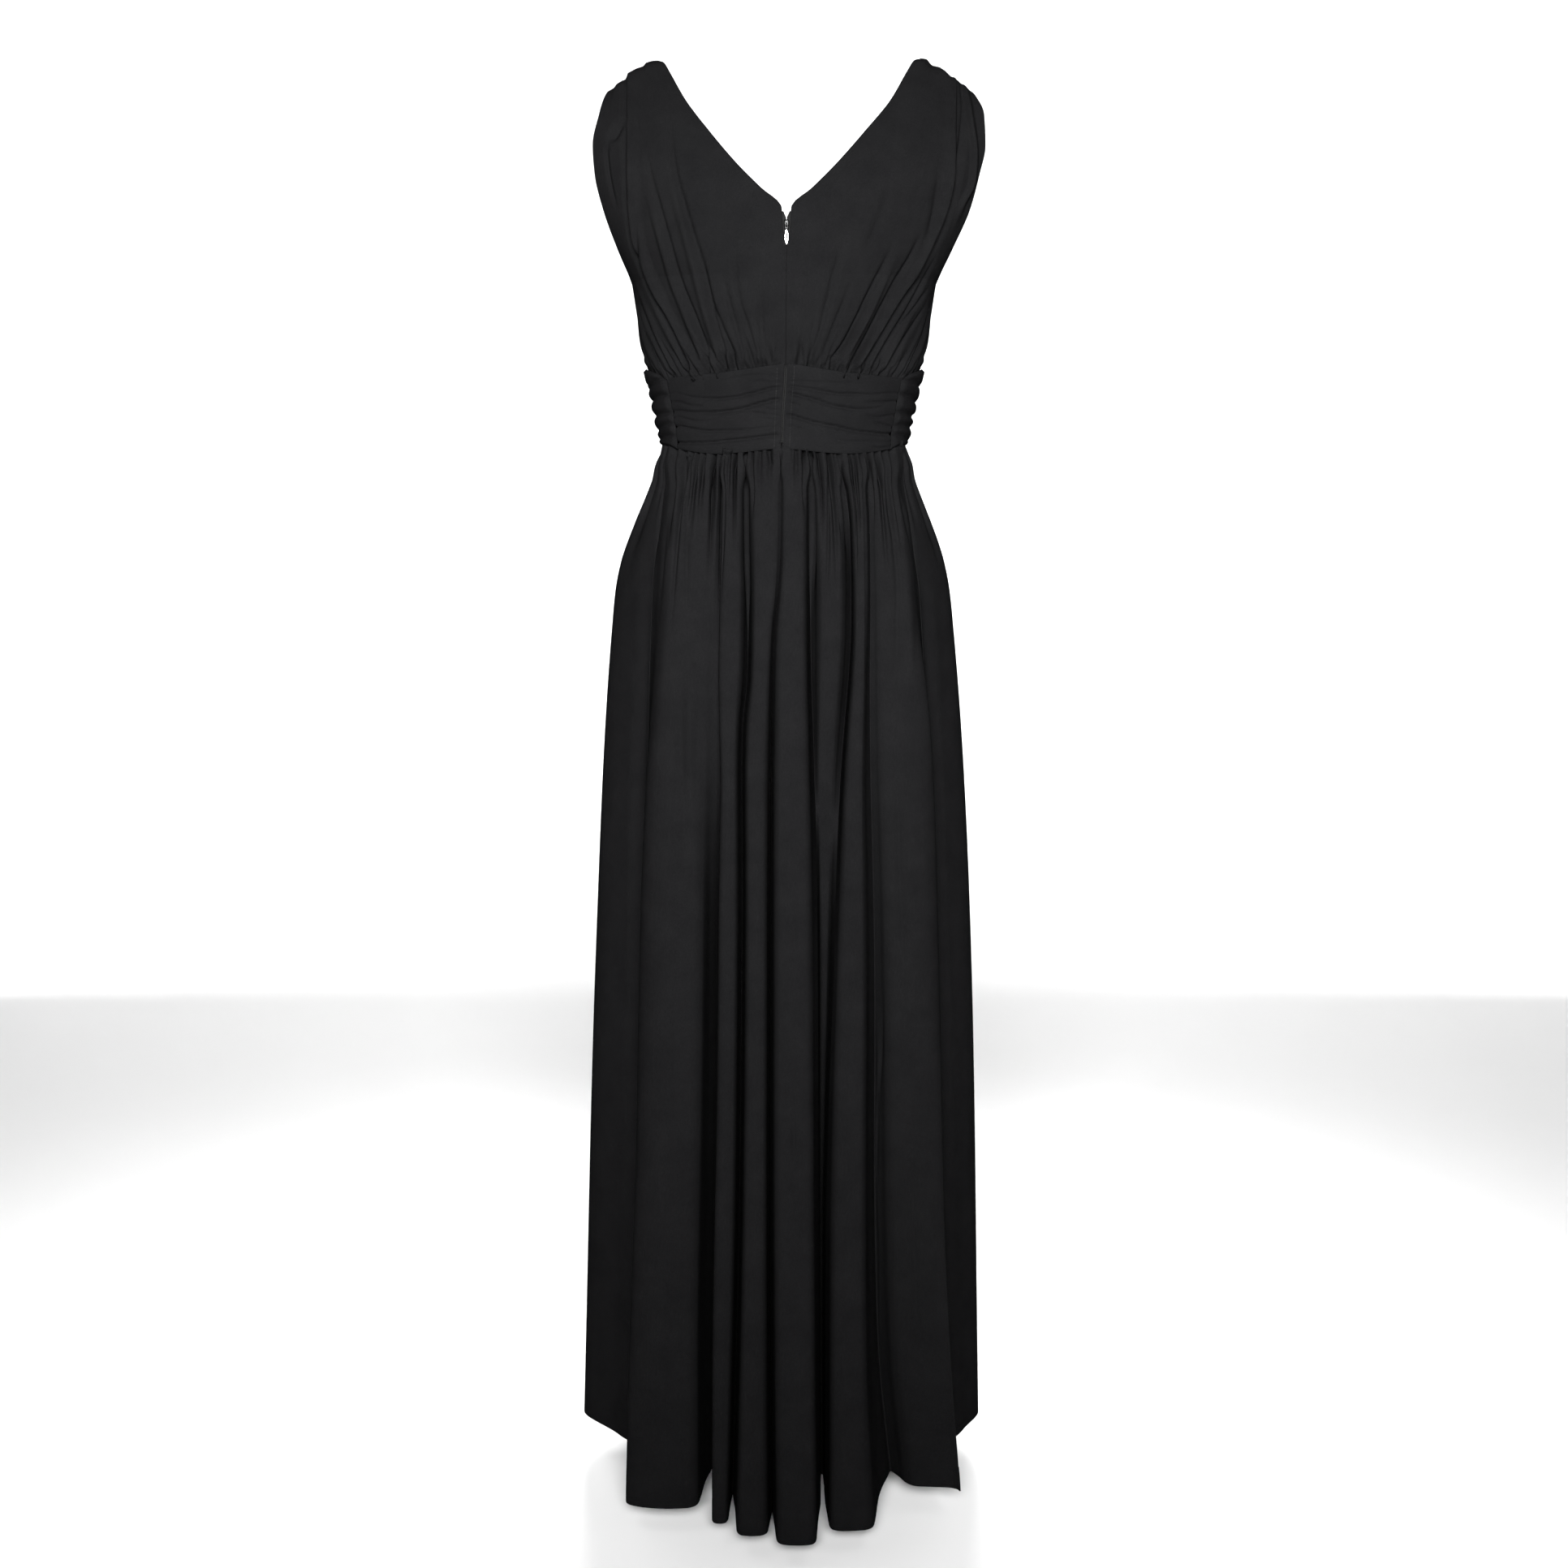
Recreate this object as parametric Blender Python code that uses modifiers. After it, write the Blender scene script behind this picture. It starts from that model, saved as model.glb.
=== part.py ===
"""A sleeveless floor length dress in gathered black jersey, held out as it is worn.

The origin is midway between the shoulders. The front faces -Y, +X is the wearer's left, and the
hem hangs towards -Z. Sizes are in millimetres until the meshes are made.
"""
import math
from collections import namedtuple

import bmesh
import bpy
import numpy as np
from mathutils import Vector

MM = 0.001

# Driving sizes
WALL = 1.4
SEAM_GAP = 0.45
WAIST_Z = -383.0
HIP_Z = -520.0
KNEE_Z = -885.0
HEM_Z = -1405.0
HEM_SIDE_RISE = 12.0
HEM_BACK_DROP = 9.0
BAND_PROUD = 1.2
WAIST_FULLNESS = 1.5
HEM_BACK_DEPTH = 230.0

# The skirt's puff just under the waist seam: how far it stands out, where, and its half height
SKIRT_PUFF = 3.0
PUFF_DROP = 16.0
PUFF_HALF_HEIGHT = 22.0

# Skirt fold lines, in order round the body from the centre back seam: x at the waist, hip, knee
# and hem, then the depth (y) at the hip, knee and hem. The waist depth comes from the waist ring.
SKIRT_COLUMNS = ("line", "x_waist", "x_hip", "x_knee", "x_hem", "y_hip", "y_knee", "y_hem")
SKIRT_LINES = (
    ("centre_back", 2.4, 8.5, 16.5, 11.6, 113, 155, 208),
    ("left_crest_3", 22, 22, 28, 37, 122, 172, 243),
    ("left_edge_3", 33, 32, 38, 51, 119, 167, 235),
    ("left_valley_2", 39, 38, 43, 51, 113, 155, 209),
    ("left_crest_2", 52, 53, 56, 59, 119, 165, 221),
    ("left_edge_2", 61, 62, 66, 73, 115, 152, 206),
    ("left_valley_1", 69, 67, 77, 72, 108, 128, 146),
    ("left_crest_1", 95, 100, 111, 114, 105, 149, 193),
    ("left_edge_1", 112, 120, 141, 156, 91, 118, 168),
    ("left_side_seam", 116, 130, 141, 151, 66, 64, 76),
    ("left_side_back", 120, 149, 162, 173, 45, 44, 40),
    ("left_side", 123.5, 172, 195, 214, 2, 0, -18),
    ("front_left_crest_1", 119, 166, 191, 211, -32, -44, -60),
    ("front_left_fall_1", 111, 152, 172, 186, -52, -74, -103),
    ("front_left_hollow_1", 103, 138, 152, 160, -62, -78, -102),
    ("front_left_crest_2", 94, 122, 138, 147, -77, -107, -150),
    ("front_left_fall_2", 80, 101, 112, 118, -88, -125, -180),
    ("front_left_hollow_2", 70, 88, 94, 97, -89, -118, -161),
    ("front_left_crest_3", 60, 73, 78, 80, -97, -138, -196),
    ("front_left_fall_3", 44, 51, 53, 53, -102, -147, -209),
    ("front_left_hollow_3", 34, 40, 42, 41, -98, -134, -184),
    ("front_centre_left", 18, 23, 24, 22, -105, -150, -210),
    ("front_centre_right", -14, -14, -16, -17, -106, -152, -214),
    ("front_right_hollow_3", -30, -30, -32, -34, -101, -138, -189),
    ("front_right_fall_3", -43, -43, -47, -51, -102, -149, -211),
    ("front_right_crest_3", -60, -72, -80, -85, -97, -140, -198),
    ("front_right_hollow_2", -70, -87, -96, -100, -89, -119, -162),
    ("front_right_fall_2", -81, -101, -113, -119, -87, -124, -178),
    ("front_right_crest_2", -94, -121, -138, -146, -76, -106, -149),
    ("front_right_hollow_1", -103, -136, -150, -158, -61, -77, -101),
    ("front_right_fall_1", -111, -151, -170, -184, -51, -73, -100),
    ("front_right_crest_1", -119, -164, -187, -204, -31, -42, -56),
    ("right_side", -123.5, -169, -194, -208, 2, 0, -18),
    ("right_side_back", -120, -152, -170, -188, 38, 42, 30),
    ("right_side_seam", -115, -134, -152, -168, 62, 66, 76),
    ("right_edge_6", -111, -128, -151, -174, 84, 113, 148),
    ("right_crest_6", -101, -115, -126, -150, 95, 136, 155),
    ("right_shoulder_6", -91, -103, -99, -118, 99, 136, 139),
    ("right_valley_5", -83, -93, -87, -103, 96, 126, 132),
    ("right_edge_5", -72, -83, -75, -81, 108, 155, 197),
    ("right_crest_5", -58, -70, -62, -61, 112, 163, 226),
    ("right_ridge_5", -41, -46, -42, -46, 116, 160, 225),
    ("right_valley_4", -25, -27, -31, -36, 111, 150, 214),
    ("right_edge_4", -18, -21, -24, -35, 119, 171, 247),
    ("right_crest_4", -10, -7, -5, -8, 124, 182, 257),
    ("right_edge_3", -3, 3, 9, 11, 119, 170, 245),
)

# Gathers of the skirt back at the waist seam: place of the hollow, its depth and its length
Gather = namedtuple("Gather", ("x_waist", "depth", "length"))
BACK_GATHERS = [Gather(*row) for row in (
    (108.5, 3.5, 110),
    (101.0, 4.5, 90),
    (92.5, 4.5, 170),
    (85.0, 3.5, 90),
    (76.0, 5.0, 150),
    (67.0, 5.0, 210),
    (57.5, 4.0, 110),
    (46.5, 4.0, 130),
    (37.5, 5.5, 230),
    (28.0, 4.0, 120),
    (17.0, 4.0, 100),
    (-10.5, 3.5, 90),
    (-18.0, 4.0, 150),
    (-26.0, 5.5, 230),
    (-34.0, 4.0, 100),
    (-43.0, 4.5, 140),
    (-52.0, 4.5, 110),
    (-66.5, 5.5, 240),
    (-76.5, 4.5, 130),
    (-85.0, 4.0, 150),
    (-93.0, 4.5, 170),
    (-101.0, 3.5, 100),
    (-108.5, 4.0, 120),
)]
FRONT_GATHER_COUNT = 26
FRONT_GATHER_DEPTH = 4.0
FRONT_GATHER_LENGTH = 130.0

# Waist and rib rings: half width, back depth and front depth
RING_COLUMNS = ("z", "half_width", "back_depth", "front_depth")
RINGS = (
    (-390, 123.5, 88, 86),
    (-372, 123.5, 88, 86),
    (-345, 128, 90, 89),
    (-318, 133.5, 92.5, 94),
    (-296, 138.5, 95, 99),
    (-280, 141, 97, 103),
)

# Waistband seams by their turn round the body: 0 is the centre back, 180 the centre front
SIDE_SEAM_DEGREES = 58.0
BAND_SEAM_COLUMNS = ("degrees", "z_top", "z_bottom")
BAND_SEAMS = (
    (0, -299.5, -380.0),
    (29, -307.5, -384.8),
    (SIDE_SEAM_DEGREES, -310.0, -378.5),
    (68, -303.5, -375.0),
    (90, -297.0, -372.0),
    (130, -300.0, -378.0),
    (180, -304.0, -383.0),
)

# Ruching of the waistband: height at the centre, middle and side, depth, where it starts and ends
Ruche = namedtuple("Ruche", ("z_centre", "z_middle", "z_side", "depth", "start", "end"))
LEFT_RUCHES = [Ruche(*row) for row in (
    (-317, -313, -314, 1.2, 0.0, 0.7),
    (-323, -327, -324, 2.4, 0.05, 1.0),
    (-336, -341, -340, 3.2, 0.0, 1.0),
    (-350, -349, -352, 1.4, 0.0, 0.55),
    (-362, -361, -358, 2.6, 0.0, 1.0),
    (-370, -371, -369, 2.2, 0.05, 1.0),
)]
RIGHT_RUCHES = [Ruche(*row) for row in (
    (-318, -316, -317, 1.2, 0.0, 0.8),
    (-323, -328, -329, 2.6, 0.0, 1.0),
    (-330, -340, -338, 2.8, 0.0, 1.0),
    (-352, -360, -363, 3.0, 0.0, 1.0),
    (-364, -370, -371, 1.6, 0.0, 0.9),
)]
FRONT_RUCHES = [Ruche(*row) for row in (
    (-317, -320, -309, 2.2, 0.0, 1.0),
    (-329, -333, -326, 2.8, 0.0, 1.0),
    (-343, -345, -341, 2.8, 0.0, 1.0),
    (-355, -358, -354, 2.4, 0.0, 1.0),
    (-367, -370, -366, 2.2, 0.0, 1.0),
)]
RUCHE_HALF_HEIGHT = 6.5
RUCHE_EDGE = 6.0

# Bodice outlines. The height share runs from 0 at the waist seam to 1 at the shoulder seam.
UNDERARM = 0.42
BACK_NOTCH = 0.62
FRONT_NOTCH = 0.36
SIDE_SEAM_COLUMNS = ("share", "x", "y", "z")
SIDE_SEAM = (
    (0.0, 117.4, 50.6, -309.5),
    (0.2, 138, 33, -262),
    (UNDERARM, 152, 11, -213),
)
ARMHOLE_COLUMNS = ("share", "x_left", "x_right", "y_back", "y_front", "z")
ARMHOLES = (
    (UNDERARM, 152, 152, 11, 11, -213),
    (0.50, 166, 168, 29, -20, -180),
    (0.60, 178, 183, 38, -42, -146),
    (0.70, 186, 192, 40, -52, -112),
    (0.80, 188, 198, 36, -52, -82),
    (0.90, 182, 197, 26, -38, -50),
    (0.95, 178, 191, 16, -22, -33),
    (0.98, 175, 186, 7, -9, -25),
    (1.0, 173, 182, 0.4, -0.4, -23),
)
BACK_INNER_COLUMNS = ("share", "x_left", "x_right", "y", "z")
BACK_INNER = (
    (0.0, -1.7, -1.7, 95, -299.5),
    (0.2, -1.9, -1.9, 99.5, -262),
    (UNDERARM, -2.3, -2.3, 102.5, -213),
    (0.56, -2.4, -2.4, 102.4, -184),
    (0.59, 0.9, -5.7, 102, -173),
    (BACK_NOTCH, 2.2, -6.8, 100.5, -152.5),
    (0.66, 22, -27, 96, -133),
    (0.72, 45, -50, 87, -109),
    (0.80, 72, -78, 68, -75),
    (0.88, 96, -104, 45, -41),
    (0.94, 112, -121, 21, -12),
    (0.975, 119, -129, 9, 0),
    (1.0, 122, -133, 0.4, 2.5),
)
FRONT_INNER_COLUMNS = ("share", "x_left", "x_right", "y", "z")
FRONT_INNER = (
    (0.0, 0, 0, -98, -303),
    (0.2, 0, 0, -109, -264),
    (FRONT_NOTCH, 0, 0, -112, -232),
    (0.44, 20, -21, -110, -203),
    (0.56, 49, -52, -104, -158),
    (0.70, 78, -83, -90, -106),
    (0.84, 100, -108, -63, -55),
    (0.94, 114, -123, -24, -12),
    (0.975, 119, -129, -10, 0),
    (1.0, 122, -133, -0.4, 2.5),
)
TURN_COLUMNS = ("share", "back_degrees", "front_degrees")
TURNS = (
    (0.0, 58, 122),
    (0.2, 72, 108),
    (UNDERARM, 84, 96),
    (0.56, 72, 84),
    (0.66, 64, 76),
    (0.80, 52, 62),
    (0.92, 34, 42),
    (1.0, 24, 24),
)
GATHER_LEAN = 0.17
SEAM_FOLLOW = 0.25
SHOULDER_SEWN = 0.92
SHOULDER_CURVE = 1.8

# Long folds of the bodice back: place across, hollow (-) or ridge (+), half width and where it
# starts and ends
LongFold = namedtuple("LongFold", ("across", "height", "half_width", "start", "end"))
LEFT_LONG_FOLDS = [LongFold(*row) for row in (
    (0.25, -4.5, 0.055, 0.0, 0.92),
    (0.36, -4.5, 0.060, 0.0, 0.95),
    (0.50, -3.0, 0.055, 0.0, 0.60),
    (0.66, 5.0, 0.050, 0.05, 1.10),
    (0.74, -6.0, 0.055, 0.05, 1.10),
)]
RIGHT_LONG_FOLDS = [LongFold(*row) for row in (
    (0.19, -3.5, 0.055, 0.0, 0.45),
    (0.36, -5.5, 0.060, 0.0, 0.60),
    (0.54, -5.0, 0.060, 0.0, 0.75),
    (0.66, 4.5, 0.050, 0.05, 1.10),
    (0.78, -6.5, 0.060, 0.0, 1.10),
    (0.90, 4.0, 0.050, 0.40, 1.10),
)]
FRONT_LONG_FOLDS = [LongFold(*row) for row in (
    (0.22, -4.5, 0.055, 0.0, 0.90),
    (0.38, -4.5, 0.060, 0.0, 0.80),
    (0.55, -4.0, 0.060, 0.0, 0.95),
    (0.68, 4.5, 0.050, 0.05, 1.10),
    (0.77, -5.5, 0.055, 0.05, 1.10),
)]
BODICE_GATHERS = 14
BODICE_GATHER_DEPTH = 3.2
BODICE_GATHER_RISE = 0.24
BODICE_GATHER_HALF = 0.46
GATHERED_SHARE = 0.95
FLAT_AT_ZIP = 0.055
FLAT_AT_SIDE = 0.965

# Centre back seam and zip
ZIP_SEAM_COLUMNS = ("z", "x")
ZIP_SEAM = (
    (-152, -2.4),
    (-300, -1.7),
    (-345, 0.8),
    (-384, 2.4),
)
ZIP_TOP = -156.0
ZIP_END = -545.0
TAPE_WIDTH = 14.0
TAPE_THICK = 0.8
COIL_WIDTH = 3.4
COIL_RISE = 1.3
SLIDER_X = -2.4
SLIDER_TOP = -164.0
SLIDER_LENGTH = 10.0
SLIDER_WIDTH = 5.2
SLIDER_THICK = 3.2
BRIDGE_WIDTH = 1.2
BRIDGE_THICK = 0.8
BRIDGE_SPAN = 3.4
BRIDGE_CLEAR = 1.6
BRIDGE_GROOVE = 0.15
PULL_BAR = 0.9
PULL_LENGTH = 19.0
PULL_WIDTH = 4.6
PULL_THICK = 0.9
PULL_EYE_WIDTH = 2.2
PULL_EYE_LENGTH = 3.4


def column(rows, names, name):
    """One named column of a table as numbers."""
    place = names.index(name)
    return np.array([float(row[place]) for row in rows])


def smooth(stations, values, at):
    """A smooth curve through a table's points that never passes beyond them."""
    xs = np.asarray(stations, float)
    ys = np.asarray(values, float)
    at = np.clip(np.asarray(at, float), xs.min(), xs.max())
    if xs[0] > xs[-1]:
        xs = xs[::-1]
        ys = ys[::-1]
    steps = np.diff(xs)
    rises = np.diff(ys, axis=0)
    rises = rises / (steps if ys.ndim == 1 else steps[:, None])
    slopes = np.zeros_like(ys)
    before, after = rises[:-1], rises[1:]
    same_way = before * after > 0
    safe_before = np.where(same_way, before, 1.0)
    safe_after = np.where(same_way, after, 1.0)
    slopes[1:-1] = np.where(same_way, 2.0 / (1.0 / safe_before + 1.0 / safe_after), 0.0)
    slopes[0] = rises[0]
    slopes[-1] = rises[-1]
    place = np.clip(np.searchsorted(xs, at, side="right") - 1, 0, len(steps) - 1)
    step = steps[place]
    share = (at - xs[place]) / step
    if ys.ndim > 1:
        step = step[..., None]
        share = share[..., None]
    rise_part = share * share * (3 - 2 * share)
    start_part = share * (1 - share) ** 2
    end_part = share * share * (share - 1)
    return (ys[place] + (ys[place + 1] - ys[place]) * rise_part
            + step * (slopes[place] * start_part + slopes[place + 1] * end_part))


def ease(value):
    """A soft step from 0 to 1."""
    value = min(max(value, 0.0), 1.0)
    return value * value * (3 - 2 * value)


def bump(distance):
    """A rounded bump, 1 in the middle and 0 beyond a distance of 1."""
    if abs(distance) >= 1:
        return 0.0
    return 0.5 + 0.5 * math.cos(math.pi * distance)


def uneven(index, seed):
    """A fixed, uneven share between -1 and 1 for a repeated form."""
    return math.sin(index * 2.399 + seed) * 0.6 + math.sin(index * 5.13 + 2 * seed) * 0.4


# Waist and rib ring
def ring_point(degrees, z, out=0.0):
    """A point on the body ring. 0 degrees is the centre back and 90 the left side."""
    zs = column(RINGS, RING_COLUMNS, "z")
    width = float(smooth(zs, column(RINGS, RING_COLUMNS, "half_width"), z)) + out
    back = float(smooth(zs, column(RINGS, RING_COLUMNS, "back_depth"), z)) + out
    front = float(smooth(zs, column(RINGS, RING_COLUMNS, "front_depth"), z)) + out
    turn = math.radians(degrees)
    depth = back if math.cos(turn) >= 0 else front
    return width * math.sin(turn), depth * math.cos(turn)


def zip_seam_x(z):
    """Where the centre back seam runs across at this height."""
    return float(smooth(column(ZIP_SEAM, ZIP_SEAM_COLUMNS, "z"),
                        column(ZIP_SEAM, ZIP_SEAM_COLUMNS, "x"), z))


# Skirt
SKIRT_NAMES = [row[0] for row in SKIRT_LINES]
WRAP = 3


def skirt_controls():
    """The fold lines' points at the waist, hip, knee and hem, wrapped round the loop."""
    table = {name: column(SKIRT_LINES, SKIRT_COLUMNS, name) for name in SKIRT_COLUMNS[1:]}
    half_width, depth_back, depth_front = (size + WAIST_FULLNESS for size in RINGS[0][1:])
    waist_y = []
    for name, x in zip(SKIRT_NAMES, table["x_waist"]):
        depth = -depth_front if name.startswith("front") else depth_back
        waist_y.append(depth * math.sqrt(max(0.0, 1 - (x / half_width) ** 2)))
    waist = np.stack([table["x_waist"], np.array(waist_y)], axis=1)
    hip = np.stack([table["x_hip"], table["y_hip"]], axis=1)
    knee = np.stack([table["x_knee"], table["y_knee"]], axis=1)
    hem = np.stack([table["x_hem"], table["y_hem"]], axis=1)
    stations = np.stack([waist, hip, knee, hem])
    return np.concatenate([stations[:, -WRAP:], stations, stations[:, :WRAP]], axis=1)


CONTROLS = skirt_controls()
STATION_Z = np.array([WAIST_Z, HIP_Z, KNEE_Z, HEM_Z])


def skirt_section(places, z):
    """Points and outward directions of the skirt's level section at places along the lines."""
    flat = CONTROLS.reshape(len(STATION_Z), -1)
    controls = smooth(STATION_Z, flat, np.array([z]))[0].reshape(-1, 2)
    lines = np.arange(-WRAP, len(SKIRT_LINES) + WRAP)
    places = np.asarray(places, float)
    points = smooth(lines, controls, places)
    ahead = smooth(lines, controls, places + 0.02)
    behind = smooth(lines, controls, places - 0.02)
    along = ahead - behind
    along /= np.maximum(np.linalg.norm(along, axis=1), 1e-9)[:, None]
    out = np.stack([-along[:, 1], along[:, 0]], axis=1)
    return points, out


def skirt_place(x_waist, first, last):
    """The place along the fold lines, between two of them, that lies at this x at the waist."""
    places = np.linspace(first, last, 400)
    xs = smooth(np.arange(-WRAP, len(SKIRT_LINES) + WRAP), CONTROLS[0, :, 0], places)
    return float(places[np.argmin(np.abs(xs - x_waist))])


def skirt_gathers():
    """Each gather as its place along the lines, half width, depth and length."""
    seam_left = SKIRT_NAMES.index("left_side_seam")
    seam_right = SKIRT_NAMES.index("right_side_seam")
    count = len(SKIRT_LINES)
    gathers = []
    for gather in BACK_GATHERS:
        if gather.x_waist > 0:
            place = skirt_place(gather.x_waist, 0, seam_left)
        else:
            place = skirt_place(gather.x_waist, seam_right, count)
        gathers.append((place, gather.depth, gather.length))
    for index in range(FRONT_GATHER_COUNT):
        share = (index + 0.5 + 0.22 * uneven(index, 1.0)) / FRONT_GATHER_COUNT
        turn = math.radians(SIDE_SEAM_DEGREES + share * (360 - 2 * SIDE_SEAM_DEGREES))
        x_waist = RINGS[0][1] * math.sin(turn)
        if math.cos(turn) > 0:
            first = seam_left if x_waist > 0 else SKIRT_NAMES.index("right_side")
            last = SKIRT_NAMES.index("left_side") if x_waist > 0 else seam_right
        else:
            first = SKIRT_NAMES.index("left_side")
            last = SKIRT_NAMES.index("right_side")
        depth = FRONT_GATHER_DEPTH * (1 + 0.3 * uneven(index, 2.0))
        length = FRONT_GATHER_LENGTH * (1 + 0.5 * uneven(index, 3.0))
        gathers.append((skirt_place(x_waist, first, last), depth, length))
    gathers.sort()
    spaced = []
    for index, (place, depth, length) in enumerate(gathers):
        before = gathers[index - 1][0] if index else place - 1
        after = gathers[index + 1][0] if index + 1 < len(gathers) else place + 1
        spaced.append((place, 0.5 * min(place - before, after - place, 1.4), depth, length))
    return spaced


SKIRT_GATHERS = skirt_gathers()


def seam_height(edge, degrees):
    """Height of the band's "z_top" or "z_bottom" seam at this turn round the body."""
    turns = column(BAND_SEAMS, BAND_SEAM_COLUMNS, "degrees")
    return float(smooth(turns, column(BAND_SEAMS, BAND_SEAM_COLUMNS, edge), abs(degrees)))


def skirt_top(x, y):
    """Height of the waist seam of the skirt under the band."""
    _, half_width, back_depth, front_depth = RINGS[0]
    depth = back_depth if y > 0 else front_depth
    turn = math.degrees(math.atan2(abs(x) / half_width, y / depth))
    return seam_height("z_bottom", turn) - SEAM_GAP


def skirt_point(place, share):
    """A point of the skirt's outside: share runs from 0 at the waist seam to 1 at the hem."""
    waist, _ = skirt_section([place], WAIST_Z)
    top = skirt_top(waist[0][0], waist[0][1])
    hem, _ = skirt_section([place], HEM_Z)
    y_hem = hem[0][1]
    bottom = HEM_Z + HEM_SIDE_RISE - (HEM_SIDE_RISE + HEM_BACK_DROP) * ease(y_hem / HEM_BACK_DEPTH)
    z = top + (bottom - top) * share
    points, out = skirt_section([place], max(z, HEM_Z))
    drop = top - z
    relief = SKIRT_PUFF * bump((drop - PUFF_DROP) / PUFF_HALF_HEIGHT)
    for centre, half, depth, length in SKIRT_GATHERS:
        fade = 1 - ease(drop / length)
        if fade > 0:
            relief -= depth * fade * bump((place - centre) / half)
    near_seam = min(abs(place), abs(place - len(SKIRT_LINES)))
    if near_seam < 0.5:
        relief *= ease(near_seam / 0.5)
    x = points[0][0] + out[0][0] * relief
    y = points[0][1] + out[0][1] * relief
    return x, y, z


# Waistband
def ruche_relief(ruches, across, z):
    """Depth of the band's ruching here, as a distance out from the ring."""
    relief = 0.0
    for ruche in ruches:
        heights = (ruche.z_centre, ruche.z_middle, ruche.z_side)
        height = float(smooth((0, 0.5, 1), heights, across))
        ends = ease((across - ruche.start) / 0.08 + 0.3) * ease((ruche.end - across) / 0.12 + 0.3)
        relief -= ruche.depth * ends * bump((z - height) / RUCHE_HALF_HEIGHT)
    return relief


def back_band_point(side, across, share):
    """A point of the back band: across from the centre back, share from the bottom up."""
    turn = SIDE_SEAM_DEGREES * across
    low = seam_height("z_bottom", turn)
    high = seam_height("z_top", turn)
    z = low + (high - low) * share
    edge = min(share, 1 - share) * (high - low)
    ruches = LEFT_RUCHES if side > 0 else RIGHT_RUCHES
    flat = ease((across - FLAT_AT_ZIP) / 0.05)
    relief = ruche_relief(ruches, across, z) * ease(edge / RUCHE_EDGE) * flat
    start = math.degrees(math.asin(zip_seam_x(z) * side / RINGS[2][1]))
    degrees = start + (SIDE_SEAM_DEGREES - start) * across
    x, y = ring_point(degrees, z, BAND_PROUD + relief)
    return x * side, y, z


def front_band_point(across, share):
    """A point of the front band: across from -1 at the right seam to 1 at the left seam."""
    from_centre = abs(across)
    degrees = 180 - from_centre * (180 - SIDE_SEAM_DEGREES)
    low = seam_height("z_bottom", degrees)
    high = seam_height("z_top", degrees)
    z = low + (high - low) * share
    edge = min(share, 1 - share) * (high - low)
    flat = ease((1 - from_centre) / 0.06)
    relief = ruche_relief(FRONT_RUCHES, from_centre, z) * ease(edge / RUCHE_EDGE) * flat
    x, y = ring_point(degrees, z, BAND_PROUD + relief)
    return math.copysign(x, across), y, z


# Bodice
def table_point(rows, names, share, wanted):
    """Smooth values of some named columns at this height share."""
    stations = column(rows, names, "share")
    return [float(smooth(stations, column(rows, names, name), share)) for name in wanted]


def bodice_edges(front, side, share):
    """The inner edge, the outer edge and the turn between them at this height share."""
    x_name = "x_left" if side > 0 else "x_right"
    y_name = "y_front" if front else "y_back"
    turn_name = "front_degrees" if front else "back_degrees"
    inner_rows = FRONT_INNER if front else BACK_INNER
    inner_names = FRONT_INNER_COLUMNS if front else BACK_INNER_COLUMNS
    inner = table_point(inner_rows, inner_names, share, (x_name, "y", "z"))
    if share <= UNDERARM:
        outer = table_point(SIDE_SEAM, SIDE_SEAM_COLUMNS, share, ("x", "y", "z"))
    else:
        outer = table_point(ARMHOLES, ARMHOLE_COLUMNS, share, (x_name, y_name, "z"))
    outer[0] *= side
    turn = table_point(TURNS, TURN_COLUMNS, share, (turn_name,))[0]
    return inner, outer, math.radians(turn)


def bodice_base(front, side, across, share):
    """A point of the bodice without folds: across from the inner edge (0) to the outer (1)."""
    inner, outer, turn = bodice_edges(front, side, share)
    lean = GATHER_LEAN * math.sin(math.pi * across) * (1 - 0.4 * across) * ease(share / 0.6)
    across = across + lean
    wide = math.sin(across * turn) / math.sin(turn)
    deep = (math.cos(across * turn) - math.cos(turn)) / (1 - math.cos(turn))
    x = inner[0] + (outer[0] - inner[0]) * wide
    y = outer[1] + (inner[1] - outer[1]) * deep
    sloped = ease((share - 0.8) / 0.2)
    fall = ease(across) * (1 - sloped) + across ** SHOULDER_CURVE * sloped
    z = inner[2] + (outer[2] - inner[2]) * fall
    if share < SEAM_FOLLOW:
        waist_turn = TURNS[0][2] if front else TURNS[0][1]
        degrees = 180 - across * waist_turn if front else across * waist_turn
        waist_z = FRONT_INNER[0][4] if front else BACK_INNER[0][4]
        waist_z += (SIDE_SEAM[0][3] - waist_z) * ease(across)
        seam = seam_height("z_top", degrees) + SEAM_GAP
        z += (seam - waist_z) * (1 - ease(share / SEAM_FOLLOW))
    return np.array([x, y, z])


def gather_centre(index, seed):
    """Place across of one of the bodice's waist gathers."""
    return (index + 0.6 + 0.15 * uneven(index, seed)) / BODICE_GATHERS * GATHERED_SHARE


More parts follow.
